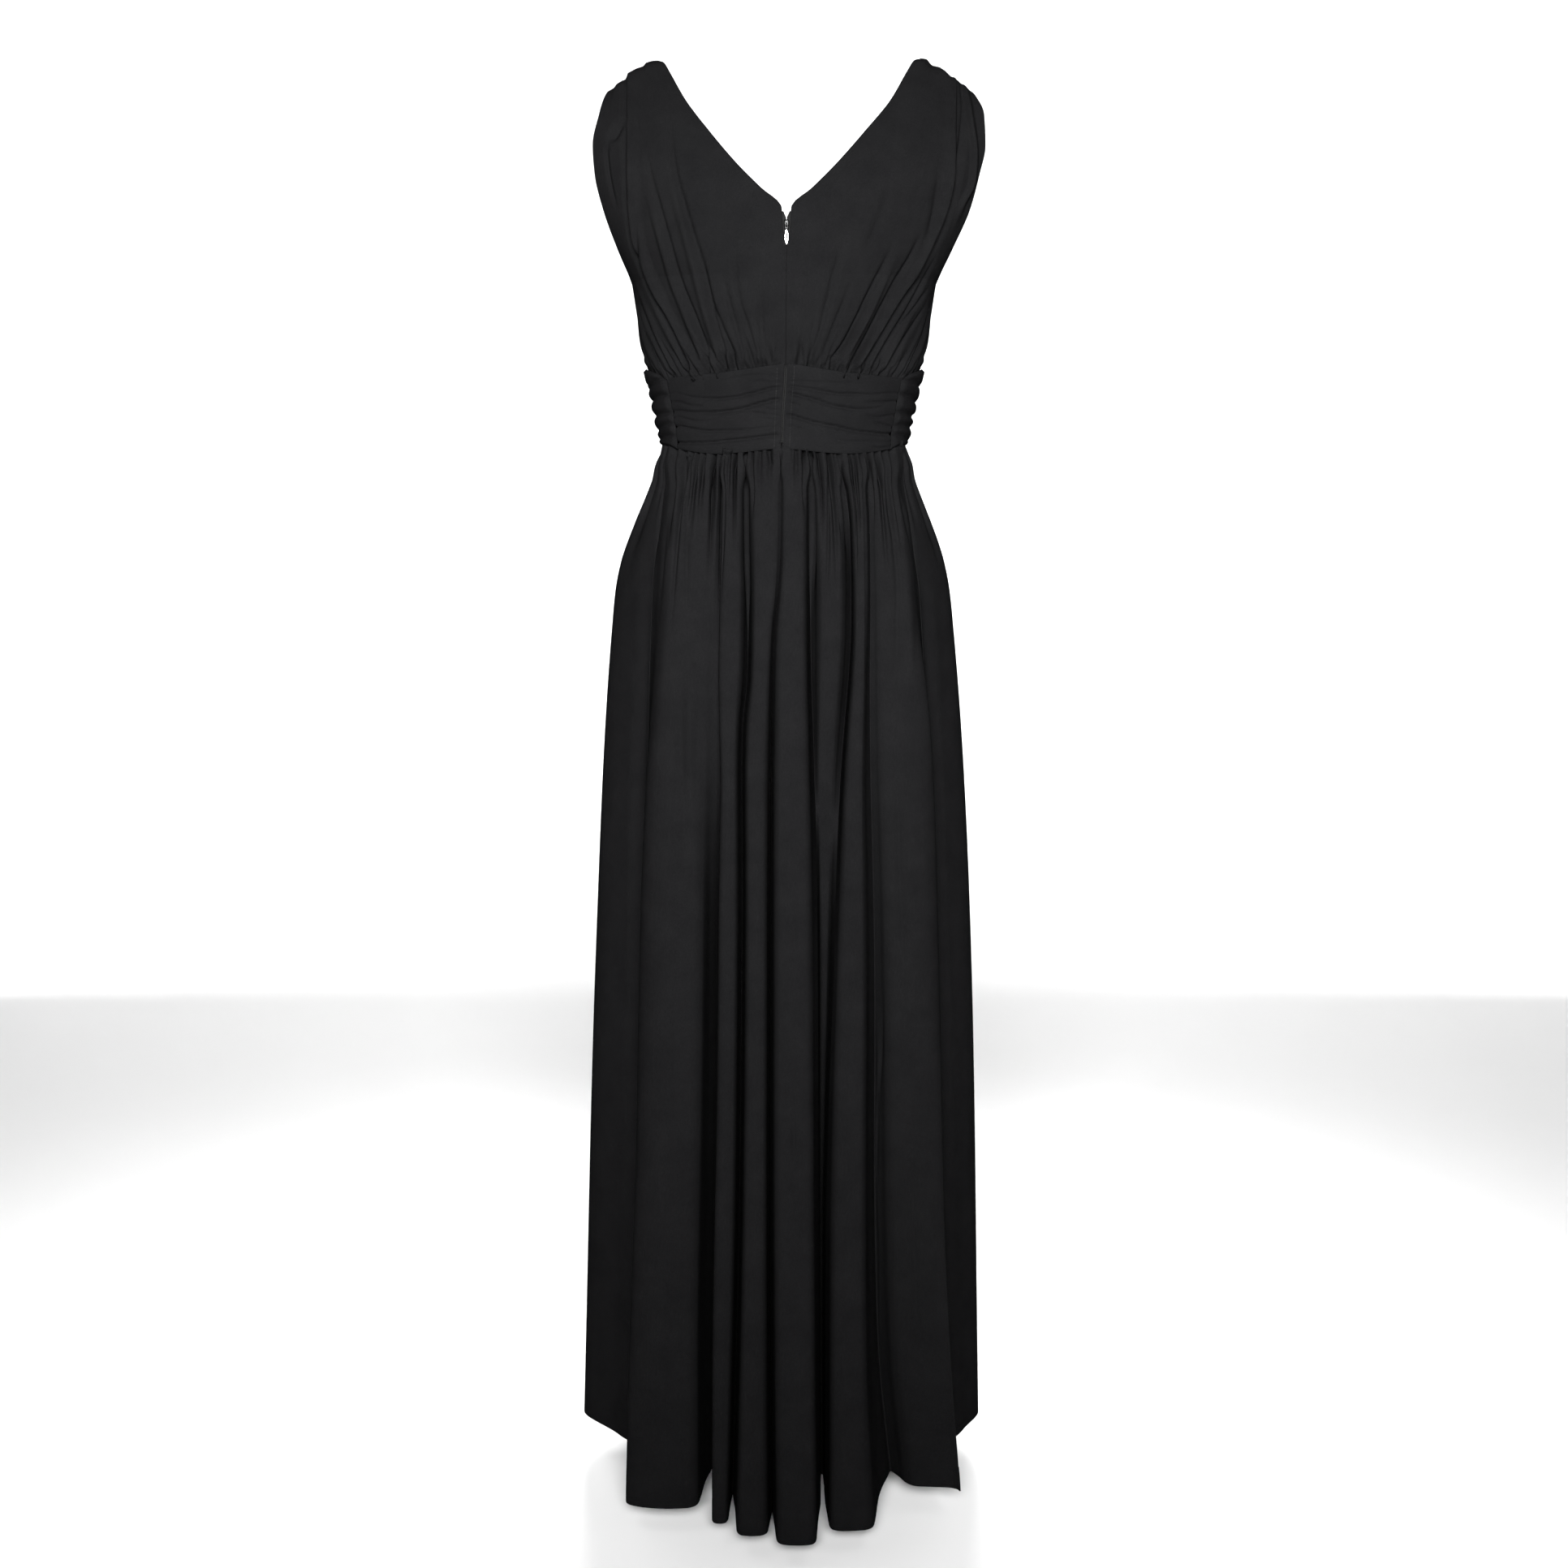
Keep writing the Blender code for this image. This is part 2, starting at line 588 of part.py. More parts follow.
def bodice_relief(long_folds, across, share, seed):
    """Height of the bodice's folds and waist gathers here."""
    relief = 0.0
    for fold in long_folds:
        ends = ease((share - fold.start) / 0.10 + 0.5) * ease((fold.end - share) / 0.15)
        relief += fold.height * ends * bump((across - fold.across) / fold.half_width)
    for index in range(BODICE_GATHERS):
        centre = gather_centre(index, seed)
        rise = BODICE_GATHER_RISE * (1 + 0.5 * uneven(index, seed + 1))
        depth = BODICE_GATHER_DEPTH * (1 + 0.3 * uneven(index, seed + 2))
        relief -= depth * (1 - ease(share / rise)) * bump((across - centre) * BODICE_GATHERS
                                                               / BODICE_GATHER_HALF)
    at_zip = ease((across - FLAT_AT_ZIP) / 0.05)
    at_side = 1 if share > UNDERARM else ease((FLAT_AT_SIDE - across) / 0.04)
    return relief * at_zip * at_side


def bodice_point(front, side, across, share):
    """A point of the bodice's outside with its folds."""
    step = 0.004
    here = bodice_base(front, side, across, share)
    along = bodice_base(front, side, min(across + step, 1), share) \
        - bodice_base(front, side, max(across - step, 0), share)
    up = bodice_base(front, side, across, min(share + step, 1)) \
        - bodice_base(front, side, across, max(share - step, 0))
    out = np.cross(up, along) * side * (-1 if front else 1)
    sewn = ease((share - SHOULDER_SEWN) / (1 - SHOULDER_SEWN))
    out[1] *= 1 - sewn
    out = out / max(np.linalg.norm(out), 1e-9)
    folds = FRONT_LONG_FOLDS if front else (LEFT_LONG_FOLDS if side > 0 else RIGHT_LONG_FOLDS)
    seed = 4.0 if front else (7.0 if side > 0 else 9.0)
    relief = bodice_relief(folds, across, share, seed) * (1 - 0.8 * sewn)
    return here + out * relief


# Meshes
def material(name, colour, roughness, metallic=0.0):
    """A named surface."""
    made = bpy.data.materials.new(name)
    made.use_nodes = True
    shader = made.node_tree.nodes["Principled BSDF"]
    shader.inputs["Base Color"].default_value = (*colour, 1)
    shader.inputs["Roughness"].default_value = roughness
    shader.inputs["Metallic"].default_value = metallic
    return made


def add_object(name, mesh, surface, collection):
    """A mesh as a named object with its surface."""
    made = bpy.data.objects.new(name, mesh)
    mesh.materials.append(surface)
    collection.objects.link(made)
    return made


def stitch(mesh, lower, upper):
    """Triangles between two rows of (place, vertex) that need not have the same count."""
    low, high = 0, 0
    while low < len(lower) - 1 or high < len(upper) - 1:
        if high == len(upper) - 1:
            step_low = True
        elif low == len(lower) - 1:
            step_low = False
        else:
            across_low = abs(lower[low + 1][0] - upper[high][0])
            across_high = abs(upper[high + 1][0] - lower[low][0])
            step_low = across_low <= across_high
        if step_low:
            mesh.faces.new((lower[low][1], lower[low + 1][1], upper[high][1]))
            low += 1
        else:
            mesh.faces.new((lower[low][1], upper[high + 1][1], upper[high][1]))
            high += 1


def cloth(name, patches, surface, collection):
    """A cloth wall from patches of rows. A row is a list of (place, key, point)."""
    mesh = bmesh.new()
    known = {}
    for rows in patches:
        stitched = []
        for row in rows:
            line = []
            for place, key, point in row:
                if key not in known:
                    known[key] = mesh.verts.new(Vector(point) * MM)
                line.append((place, known[key]))
            stitched.append(line)
        for lower, upper in zip(stitched, stitched[1:]):
            stitch(mesh, lower, upper)
    mesh.normal_update()
    bmesh.ops.recalc_face_normals(mesh, faces=mesh.faces)
    mesh.normal_update()
    outward = 0.0
    for face in mesh.faces:
        radial = face.calc_center_median()
        radial.z = 0
        outward += face.normal.dot(radial.normalized()) * face.calc_area()
    if outward < 0:
        bmesh.ops.reverse_faces(mesh, faces=mesh.faces)
    data = bpy.data.meshes.new(name)
    mesh.to_mesh(data)
    mesh.free()
    data.shade_smooth()
    made = add_object(name, data, surface, collection)
    wall = made.modifiers.new("cloth wall", "SOLIDIFY")
    wall.thickness = WALL * MM
    wall.offset = -1
    wall.use_quality_normals = True
    return made


# Heights of the skirt's rows as shares of its length: the gathered top, then the hanging folds
GATHERED_SHARES = (0.0, 0.006, 0.014, 0.026, 0.044, 0.066, 0.095)
HANGING_SHARES = (0.135, 0.185, 0.25, 0.33, 0.43, 0.54, 0.65, 0.76, 0.88, 1.0)
LINE_TRIM = 0.012


def skirt_piece(name, first, last, surface, collection):
    """One skirt panel between two fold lines."""
    first += LINE_TRIM
    last -= LINE_TRIM
    inside = [gather for gather in SKIRT_GATHERS if first + 0.05 < gather[0] < last - 0.05]
    fine = [first, last]
    for index, gather in enumerate(inside):
        fine.append(gather[0])
        if index:
            fine.append(0.5 * (inside[index - 1][0] + gather[0]))
    fine.append(0.5 * (first + inside[0][0]))
    fine.append(0.5 * (last + inside[-1][0]))
    fine = sorted(fine)
    start = math.ceil(first)
    end = math.floor(last)
    coarse = [first] + [0.5 * k for k in range(2 * start, 2 * end + 1)] + [last]
    coarse = sorted(place for place in set(coarse) if first <= place <= last)
    rows = []
    for share in GATHERED_SHARES:
        rows.append([(place, (share, place), skirt_point(place, share)) for place in fine])
    for share in HANGING_SHARES:
        rows.append([(place, (share, place), skirt_point(place, share)) for place in coarse])
    return cloth(name, [rows], surface, collection)


def back_band_piece(name, side, surface, collection):
    """One half of the back waistband."""
    across_list = np.concatenate([[0.006, 0.055], np.linspace(0.11, 0.9, 6), [0.994]])
    shares = np.linspace(0.004, 0.996, 20)
    rows = []
    for share in shares:
        rows.append([(a, (share, a), back_band_point(side, a, share)) for a in across_list])
    return cloth(name, [rows], surface, collection)


def front_band_piece(name, surface, collection):
    """The front waistband, seam to seam."""
    across_list = np.linspace(-0.997, 0.997, 25)
    shares = np.linspace(0.004, 0.996, 17)
    rows = []
    for share in shares:
        rows.append([(a, (share, a), front_band_point(a, share)) for a in across_list])
    return cloth(name, [rows], surface, collection)


def bodice_columns(long_folds, seed, fine, inner, outer):
    """Places across a bodice row: each fold's middle and flanks, or each gather too."""
    places = {inner, outer, 0.05, FLAT_AT_SIDE}
    for fold in long_folds:
        places.update((fold.across - fold.half_width, fold.across, fold.across + fold.half_width))
    if fine:
        places = {inner, outer, FLAT_AT_SIDE}
        for index in range(BODICE_GATHERS):
            centre = gather_centre(index, seed)
            places.update((centre, centre - 0.5 / BODICE_GATHERS))
    ordered = []
    for place in sorted(p for p in places if inner <= p <= outer):
        if not ordered or place - ordered[-1] > 0.012:
            ordered.append(place)
    if ordered[-1] != outer:
        ordered[-1] = outer
    return ordered


def bodice_rows(front, side, shares, shared_centre_to):
    """The rows of one half of the bodice from the waist up to the shoulder."""
    folds = FRONT_LONG_FOLDS if front else (LEFT_LONG_FOLDS if side > 0 else RIGHT_LONG_FOLDS)
    seed = 4.0 if front else (7.0 if side > 0 else 9.0)
    rows = []
    for share in shares:
        inner = 0.0 if front else 0.0035
        outer = 0.997 if share <= UNDERARM else 1.0
        places = bodice_columns(folds, seed, share < 0.2, inner, outer)
        row = []
        for place in places:
            point = bodice_point(front, side, place, share)
            centre = front and place == 0.0 and share <= shared_centre_to
            key = ("centre", share) if centre else (side, share, place)
            if share == 1.0:
                point[1] += -0.3 if front else 0.3
            row.append((place, key, tuple(point)))
        rows.append(row)
    return rows


BACK_SHARES = (0.0, 0.03, 0.08, 0.15, 0.24, 0.33, UNDERARM, 0.50, 0.56, 0.59, BACK_NOTCH, 0.66, 0.72,
               0.80, 0.88, 0.94, 0.975, 1.0)
FRONT_SHARES = (0.0, 0.03, 0.08, 0.15, 0.25, FRONT_NOTCH, UNDERARM, 0.50, 0.60, 0.70, 0.80,
                0.88, 0.94, 0.975, 1.0)


def bodice_back_piece(name, side, surface, collection):
    """One half of the bodice back."""
    return cloth(name, [bodice_rows(False, side, BACK_SHARES, 0)], surface, collection)


def bodice_front_piece(name, surface, collection):
    """The bodice front, cut in one with its V neck."""
    halves = [bodice_rows(True, side, FRONT_SHARES, FRONT_NOTCH) for side in (1, -1)]
    return cloth(name, halves, surface, collection)


def centre_back_y(z):
    """Depth of the cloth's outside at the centre back seam."""
    if z > BAND_SEAMS[0][1]:
        zs = column(BACK_INNER, BACK_INNER_COLUMNS, "z")
        return float(smooth(zs, column(BACK_INNER, BACK_INNER_COLUMNS, "y"), z))
    if z > BAND_SEAMS[0][2]:
        return ring_point(0, z, BAND_PROUD)[1]
    points, _ = skirt_section([0.0], z)
    return float(points[0][1])


def centre_back_x(z):
    """Place across of the centre back seam."""
    if z > WAIST_Z:
        return zip_seam_x(z)
    points, _ = skirt_section([0.0], z)
    return float(points[0][0])


def zip_tape(surface, collection):
    """The tape with its closed coil, lofted down the inside of the centre back seam."""
    half = TAPE_WIDTH / 2
    coil = COIL_WIDTH / 2
    outline = ((-half, 0), (half, 0), (half, -TAPE_THICK), (coil + 0.3, -TAPE_THICK),
               (coil, -TAPE_THICK - COIL_RISE), (-coil, -TAPE_THICK - COIL_RISE),
               (-coil - 0.3, -TAPE_THICK), (-half, -TAPE_THICK))
    heights = np.concatenate([np.linspace(ZIP_TOP, -296, 8), np.linspace(-306, -378, 5),
                              np.linspace(-388, ZIP_END, 9)])
    mesh = bmesh.new()
    rings = []
    for z in heights:
        x = centre_back_x(z)
        y = centre_back_y(z) - WALL - 0.75
        rings.append([mesh.verts.new(Vector((x + dx, y + dy, z)) * MM) for dx, dy in outline])
    count = len(outline)
    for above, below in zip(rings, rings[1:]):
        for k in range(count):
            n = (k + 1) % count
            mesh.faces.new((above[k], above[n], below[n], below[k]))
    mesh.faces.new(rings[0])
    mesh.faces.new(rings[-1][::-1])
    bmesh.ops.recalc_face_normals(mesh, faces=mesh.faces)
    data = bpy.data.meshes.new("zip_tape")
    mesh.to_mesh(data)
    mesh.free()
    return add_object("zip_tape", data, surface, collection)


def box_object(name, size, place, surface, collection, bevel=0.0):
    """A block of this size (mm) with its middle at this place."""
    mesh = bmesh.new()
    bmesh.ops.create_cube(mesh, size=1.0)
    for vertex in mesh.verts:
        vertex.co = Vector([vertex.co[k] * size[k] * MM for k in range(3)])
    data = bpy.data.meshes.new(name)
    mesh.to_mesh(data)
    mesh.free()
    made = add_object(name, data, surface, collection)
    made.location = Vector(place) * MM
    if bevel:
        soft = made.modifiers.new("rounded edges", "BEVEL")
        soft.width = bevel * MM
        soft.segments = 2
        soft.limit_method = "ANGLE"
    return made


def slider_face_y():
    """Depth of the slider's outer face."""
    return centre_back_y(SLIDER_TOP) + 1.9


def pull_axis():
    """The pull's hinge line: its middle point."""
    return Vector((SLIDER_X, slider_face_y() + BRIDGE_CLEAR / 2, SLIDER_TOP - SLIDER_LENGTH * 0.55))


def zip_slider(surface, collection, cutters):
    """The slider's body with its bridge, which the pull's bar lies under."""
    face = slider_face_y()
    middle = (SLIDER_X, face - SLIDER_THICK / 2, SLIDER_TOP - SLIDER_LENGTH / 2)
    body = box_object("zip_slider", (SLIDER_WIDTH, SLIDER_THICK, SLIDER_LENGTH), middle, surface,
                      collection, bevel=0.9)
    axis = pull_axis()
    height = BRIDGE_CLEAR + BRIDGE_THICK + BRIDGE_GROOVE
    bridge = box_object("bridge", (BRIDGE_WIDTH, height + 1.0, BRIDGE_SPAN + 2 * BRIDGE_THICK),
                        (axis.x, face + (height - 1.0) / 2, axis.z), surface, cutters)
    tunnel = box_object("bridge_tunnel",
                        (BRIDGE_WIDTH * 3, BRIDGE_CLEAR + 2 * BRIDGE_GROOVE, BRIDGE_SPAN),
                        (axis.x, face + BRIDGE_CLEAR / 2, axis.z), surface, cutters)
    for tool, action in ((bridge, "UNION"), (tunnel, "DIFFERENCE")):
        tool.hide_render = True
        tool.display_type = "WIRE"
        joined = body.modifiers.new(tool.name, "BOOLEAN")
        joined.operation = action
        joined.object = tool
    return body


def pull_outline():
    """The pull's flat outline, from its bar down to the rounded tip, and its eye."""
    half_top = PULL_EYE_WIDTH / 2 + PULL_BAR
    top = PULL_BAR / 2
    eye_end = -PULL_EYE_LENGTH - PULL_BAR
    right = [(half_top, top), (half_top, eye_end)]
    for k in range(1, 7):
        share = k / 6
        z = eye_end + (-PULL_LENGTH + PULL_WIDTH / 2 - eye_end) * share
        wide = half_top * 0.62 + (PULL_WIDTH / 2 - half_top * 0.62) * ease(share)
        right.append((wide, z))
    tip = -PULL_LENGTH + PULL_WIDTH / 2
    arc = []
    for k in range(1, 8):
        turn = math.pi * k / 8
        arc.append((PULL_WIDTH / 2 * math.cos(turn), tip - PULL_WIDTH / 2 * math.sin(turn)))
    left = [(-x, z) for x, z in reversed(right)]
    return right + arc + left


def zip_pull(surface, collection, cutters):
    """The leaf shaped pull, hanging from its bar on the hinge line."""
    mesh = bmesh.new()
    ring = [mesh.verts.new(Vector((x, -PULL_THICK / 2, z)) * MM) for x, z in pull_outline()]
    front = mesh.faces.new(ring)
    made = bmesh.ops.extrude_face_region(mesh, geom=[front])
    moved = [item for item in made["geom"] if isinstance(item, bmesh.types.BMVert)]
    bmesh.ops.translate(mesh, verts=moved, vec=Vector((0, PULL_THICK * MM, 0)))
    bmesh.ops.recalc_face_normals(mesh, faces=mesh.faces)
    data = bpy.data.meshes.new("zip_pull")
    mesh.to_mesh(data)
    mesh.free()
    pull = add_object("zip_pull", data, surface, collection)
    pull.location = pull_axis() * MM
    eye_middle = -PULL_BAR / 2 - PULL_EYE_LENGTH / 2
    axis = pull_axis()
    eye = box_object("pull_eye", (PULL_EYE_WIDTH, PULL_THICK * 3, PULL_EYE_LENGTH),
                     (axis.x, axis.y, axis.z + eye_middle), surface, cutters)
    eye.hide_render = True
    eye.display_type = "WIRE"
    cut = pull.modifiers.new("eye", "BOOLEAN")
    cut.operation = "DIFFERENCE"
    cut.object = eye
    return pull


def build():
    """The whole dress."""
    for old in list(bpy.data.objects):
        bpy.data.objects.remove(old, do_unlink=True)
    parts = bpy.data.collections.new("maxi_dress")
    cutters = bpy.data.collections.new("cutters")
    for group in (parts, cutters):
        bpy.context.scene.collection.children.link(group)
    jersey = material("black jersey", (0.012, 0.012, 0.013), 0.62)
    tape = material("black zip tape", (0.01, 0.01, 0.01), 0.8)
    metal = material("dark zip metal", (0.18, 0.175, 0.17), 0.3, 1.0)
    seam_left = SKIRT_NAMES.index("left_side_seam")
    seam_right = SKIRT_NAMES.index("right_side_seam")
    count = len(SKIRT_LINES)
    skirt_piece("skirt_back_left", 0, seam_left, jersey, parts)
    skirt_piece("skirt_back_right", seam_right, count, jersey, parts)
    skirt_piece("skirt_front", seam_left, seam_right, jersey, parts)
    back_band_piece("waistband_back_left", 1, jersey, parts)
    back_band_piece("waistband_back_right", -1, jersey, parts)
    front_band_piece("waistband_front", jersey, parts)
    bodice_back_piece("back_bodice_left", 1, jersey, parts)
    bodice_back_piece("back_bodice_right", -1, jersey, parts)
    bodice_front_piece("front_bodice", jersey, parts)
    zip_tape(tape, parts)
    zip_slider(metal, parts, cutters)
    zip_pull(metal, parts, cutters)


build()
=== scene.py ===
"""The black jersey maxi dress as it looks in the photograph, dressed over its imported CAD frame.

Sizes are in millimetres until a mesh is made. The back of the dress faces +Y, towards the camera.
"""
import math

import bpy
import numpy as np
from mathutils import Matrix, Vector


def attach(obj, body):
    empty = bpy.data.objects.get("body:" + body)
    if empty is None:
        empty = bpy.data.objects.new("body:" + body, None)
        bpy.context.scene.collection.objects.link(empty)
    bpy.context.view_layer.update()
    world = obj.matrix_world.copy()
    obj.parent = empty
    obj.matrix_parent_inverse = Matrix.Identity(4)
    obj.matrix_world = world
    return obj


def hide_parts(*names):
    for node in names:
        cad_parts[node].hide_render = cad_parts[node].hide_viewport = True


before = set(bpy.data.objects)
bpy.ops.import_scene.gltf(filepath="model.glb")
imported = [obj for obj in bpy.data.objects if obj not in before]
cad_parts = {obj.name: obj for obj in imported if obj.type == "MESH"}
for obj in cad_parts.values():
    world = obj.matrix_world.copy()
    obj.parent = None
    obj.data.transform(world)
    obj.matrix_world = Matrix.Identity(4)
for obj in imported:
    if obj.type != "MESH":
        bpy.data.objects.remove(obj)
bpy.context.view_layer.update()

MM = 0.001
WALL = 1.0
WAIST_Z = -383.0
HIP_Z = -520.0
KNEE_Z = -885.0
HEM_Z = -1405.0
HEM_SIDE_RISE = 12.0
HEM_BACK_DROP = 9.0
HEM_BACK_DEPTH = 230.0
BAND_PROUD = 1.2
WAIST_FULLNESS = 1.5
SEAM_GAP = 0.45
SIDE_SEAM_DEGREES = 58.0

# Skirt fold lines from the left side seam round the front: name, x at the waist, hip, knee and
# hem, then y at the hip, knee and hem
SKIRT_LINES = (
    ("left_side_seam", 116, 130, 141, 151, 66, 64, 76),
    ("left_side_back", 120, 149, 162, 173, 45, 44, 40),
    ("left_side", 123.5, 172, 195, 214, 2, 0, -18),
    ("front_left_crest_1", 119, 166, 191, 211, -32, -44, -60),
    ("front_left_fall_1", 111, 152, 172, 186, -52, -74, -103),
    ("front_left_hollow_1", 103, 138, 152, 160, -62, -78, -102),
    ("front_left_crest_2", 94, 122, 138, 147, -77, -107, -150),
    ("front_left_fall_2", 80, 101, 112, 118, -88, -125, -180),
    ("front_left_hollow_2", 70, 88, 94, 97, -89, -118, -161),
    ("front_left_crest_3", 60, 73, 78, 80, -97, -138, -196),
    ("front_left_fall_3", 44, 51, 53, 53, -102, -147, -209),
    ("front_left_hollow_3", 34, 40, 42, 41, -98, -134, -184),
    ("front_centre_left", 18, 23, 24, 22, -105, -150, -210),
    ("front_centre_right", -14, -14, -16, -17, -106, -152, -214),
    ("front_right_hollow_3", -30, -30, -32, -34, -101, -138, -189),
    ("front_right_fall_3", -43, -43, -47, -51, -102, -149, -211),
    ("front_right_crest_3", -60, -72, -80, -85, -97, -140, -198),
    ("front_right_hollow_2", -70, -87, -96, -100, -89, -119, -162),
    ("front_right_fall_2", -81, -101, -113, -119, -87, -124, -178),
    ("front_right_crest_2", -94, -121, -138, -146, -76, -106, -149),
    ("front_right_hollow_1", -103, -136, -150, -158, -61, -77, -101),
    ("front_right_fall_1", -111, -151, -170, -184, -51, -73, -100),
    ("front_right_crest_1", -119, -164, -187, -204, -31, -42, -56),
    ("right_side", -123.5, -169, -194, -208, 2, 0, -18),
    ("right_side_back", -120, -152, -170, -188, 38, 42, 30),
    ("right_side_seam", -115, -134, -152, -168, 62, 66, 76),
)

# Gathers of the skirt back: x at the waist, depth and length
BACK_GATHERS = (
    (108.5, 4.0, 110), (99.0, 5.0, 190), (92.0, 3.0, 70), (85.5, 4.5, 110), (79.0, 3.5, 80),
    (68.5, 5.0, 150), (59.5, 4.5, 210), (53.5, 3.0, 60), (47.5, 4.5, 110), (38.0, 4.5, 200),
    (31.0, 3.5, 70), (23.0, 2.5, 50), (14.0, 3.0, 40), (-12.0, 2.5, 50), (-20.0, 4.0, 70),
    (-26.0, 4.5, 180), (-33.0, 4.5, 100), (-44.0, 5.0, 150), (-49.0, 3.5, 80), (-54.0, 4.5, 120),
    (-64.0, 4.5, 130), (-69.0, 3.5, 100), (-76.0, 5.5, 230), (-84.0, 3.0, 80), (-92.0, 4.5, 150),
    (-100.5, 4.0, 150), (-107.5, 4.5, 120),
)
FRONT_GATHER_COUNT = 26

# Waist and rib rings: z, half width, back depth, front depth
RINGS = np.array((
    (-390, 123.5, 88, 86), (-372, 123.5, 88, 86), (-345, 128, 90, 89),
    (-318, 133.5, 92.5, 94), (-296, 138.5, 95, 99), (-280, 141, 97, 103),
), float)

# Waistband seams: degrees from the centre back, top and bottom
BAND_SEAMS = np.array((
    (0, -299.5, -380.0), (29, -307.5, -384.8), (58, -310.0, -378.5), (68, -303.5, -375.0),
    (90, -297.0, -372.0), (130, -300.0, -378.0), (180, -304.0, -383.0),
))

# Ruching of the front band: z at the centre, middle and side, then depth
FRONT_RUCHES = (
    (-317, -320, -309, 2.2), (-329, -333, -326, 2.8), (-343, -345, -341, 2.8),
    (-355, -358, -354, 2.4), (-367, -370, -366, 2.2),
)

UNDERARM = 0.42
BACK_NOTCH = 0.62
FRONT_NOTCH = 0.36
SIDE_SEAM = np.array(((0.0, 117.4, 50.6, -309.5), (0.2, 138, 33, -262), (UNDERARM, 152, 11, -213)))
ARMHOLES = np.array((
    (UNDERARM, 152, 152, 11, 11, -213), (0.50, 166, 168, 29, -20, -180),
    (0.60, 178, 183, 38, -42, -146), (0.70, 186, 192, 40, -52, -112),
    (0.80, 188, 198, 36, -52, -82), (0.90, 182, 197, 26, -38, -50),
    (0.95, 178, 191, 16, -22, -33), (0.98, 175, 186, 7, -9, -25), (1.0, 173, 182, 0.4, -0.4, -23),
))
BACK_INNER = np.array((
    (0.0, -1.7, -1.7, 95, -299.5), (0.2, -1.9, -1.9, 99.5, -262),
    (UNDERARM, -2.3, -2.3, 102.5, -213), (0.56, -2.4, -2.4, 102.4, -184),
    (0.59, 0.9, -5.7, 102, -173), (BACK_NOTCH, 2.2, -6.8, 100.5, -152.5),
    (0.66, 22, -27, 96, -133), (0.72, 45, -50, 87, -109), (0.80, 72, -78, 68, -75),
    (0.88, 96, -104, 45, -41), (0.94, 112, -121, 21, -12), (0.975, 119, -129, 9, 0),
    (1.0, 122, -133, 0.4, 2.5),
))
FRONT_INNER = np.array((
    (0.0, 0, 0, -98, -303), (0.2, 0, 0, -109, -264), (FRONT_NOTCH, 0, 0, -112, -232),
    (0.44, 20, -21, -110, -203), (0.56, 49, -52, -104, -158), (0.70, 78, -83, -90, -106),
    (0.84, 100, -108, -63, -55), (0.94, 114, -123, -24, -12), (0.975, 119, -129, -10, 0),
    (1.0, 122, -133, -0.4, 2.5),
))
TURNS = np.array((
    (0.0, 58, 122), (0.2, 72, 108), (UNDERARM, 84, 96), (0.56, 72, 84), (0.66, 64, 76),
    (0.80, 52, 62), (0.92, 34, 42), (1.0, 24, 24),
))
GATHER_LEAN = 0.17
SEAM_FOLLOW = 0.25
SHOULDER_SEWN = 0.92
BODICE_COLUMNS = 110
BODICE_ZIP_EDGE = 0.6
SKIRT_ROWS = 140
PANEL_INSET = 0.003
BAND_ZIP_EDGE = 0.0135
BAND_EDGE = 3
BAND_PUFF = 0.6
FRONT_BAND_PUFF = 3.0
# How much deeper than their tables the creases, ruches and gathers are
BODICE_CREASE_DEPTH = 1.7
BAND_CREASE_DEPTH = 1.35
FRONT_RUCHE_DEPTH = 1.3
SKIRT_CREASE_DEPTH = 1.5
GATHER_DEPTH = 2.4
NORMAL_REACH = 7
RIDGE_COUNT = 9
RIDGE_HEIGHT = 3.4
# Ends of the pleats along the shoulder seam: across, then lift of the left and the right
SHOULDER_STEPS = np.array((
    (0.0, 3.0, 5.2), (0.10, 3.4, 5.0), (0.20, 3.4, 0.8), (0.25, 1.2, 1.4), (0.36, 2.2, 2.6),
    (0.50, 2.6, -0.6), (0.56, -1.2, 0.4), (0.75, 0.0, 0.0), (0.82, -1.6, -1.2), (1.0, 0.0, 0.0),
))
SHOULDER_CURVE = 1.8
FRONT_LONG_FOLDS = (
    (0.22, -4.5, 0.055, 0.0, 0.90), (0.38, -4.5, 0.060, 0.0, 0.80), (0.55, -4.0, 0.060, 0.0, 0.95),
    (0.68, 4.5, 0.050, 0.05, 1.10), (0.77, -5.5, 0.055, 0.05, 1.10),
)
ZIP_SEAM = np.array(((-152, -2.4), (-300, -1.7), (-345, 0.8), (-384, 2.4)))
ZIP_TOP = -156.0
ZIP_END = -545.0

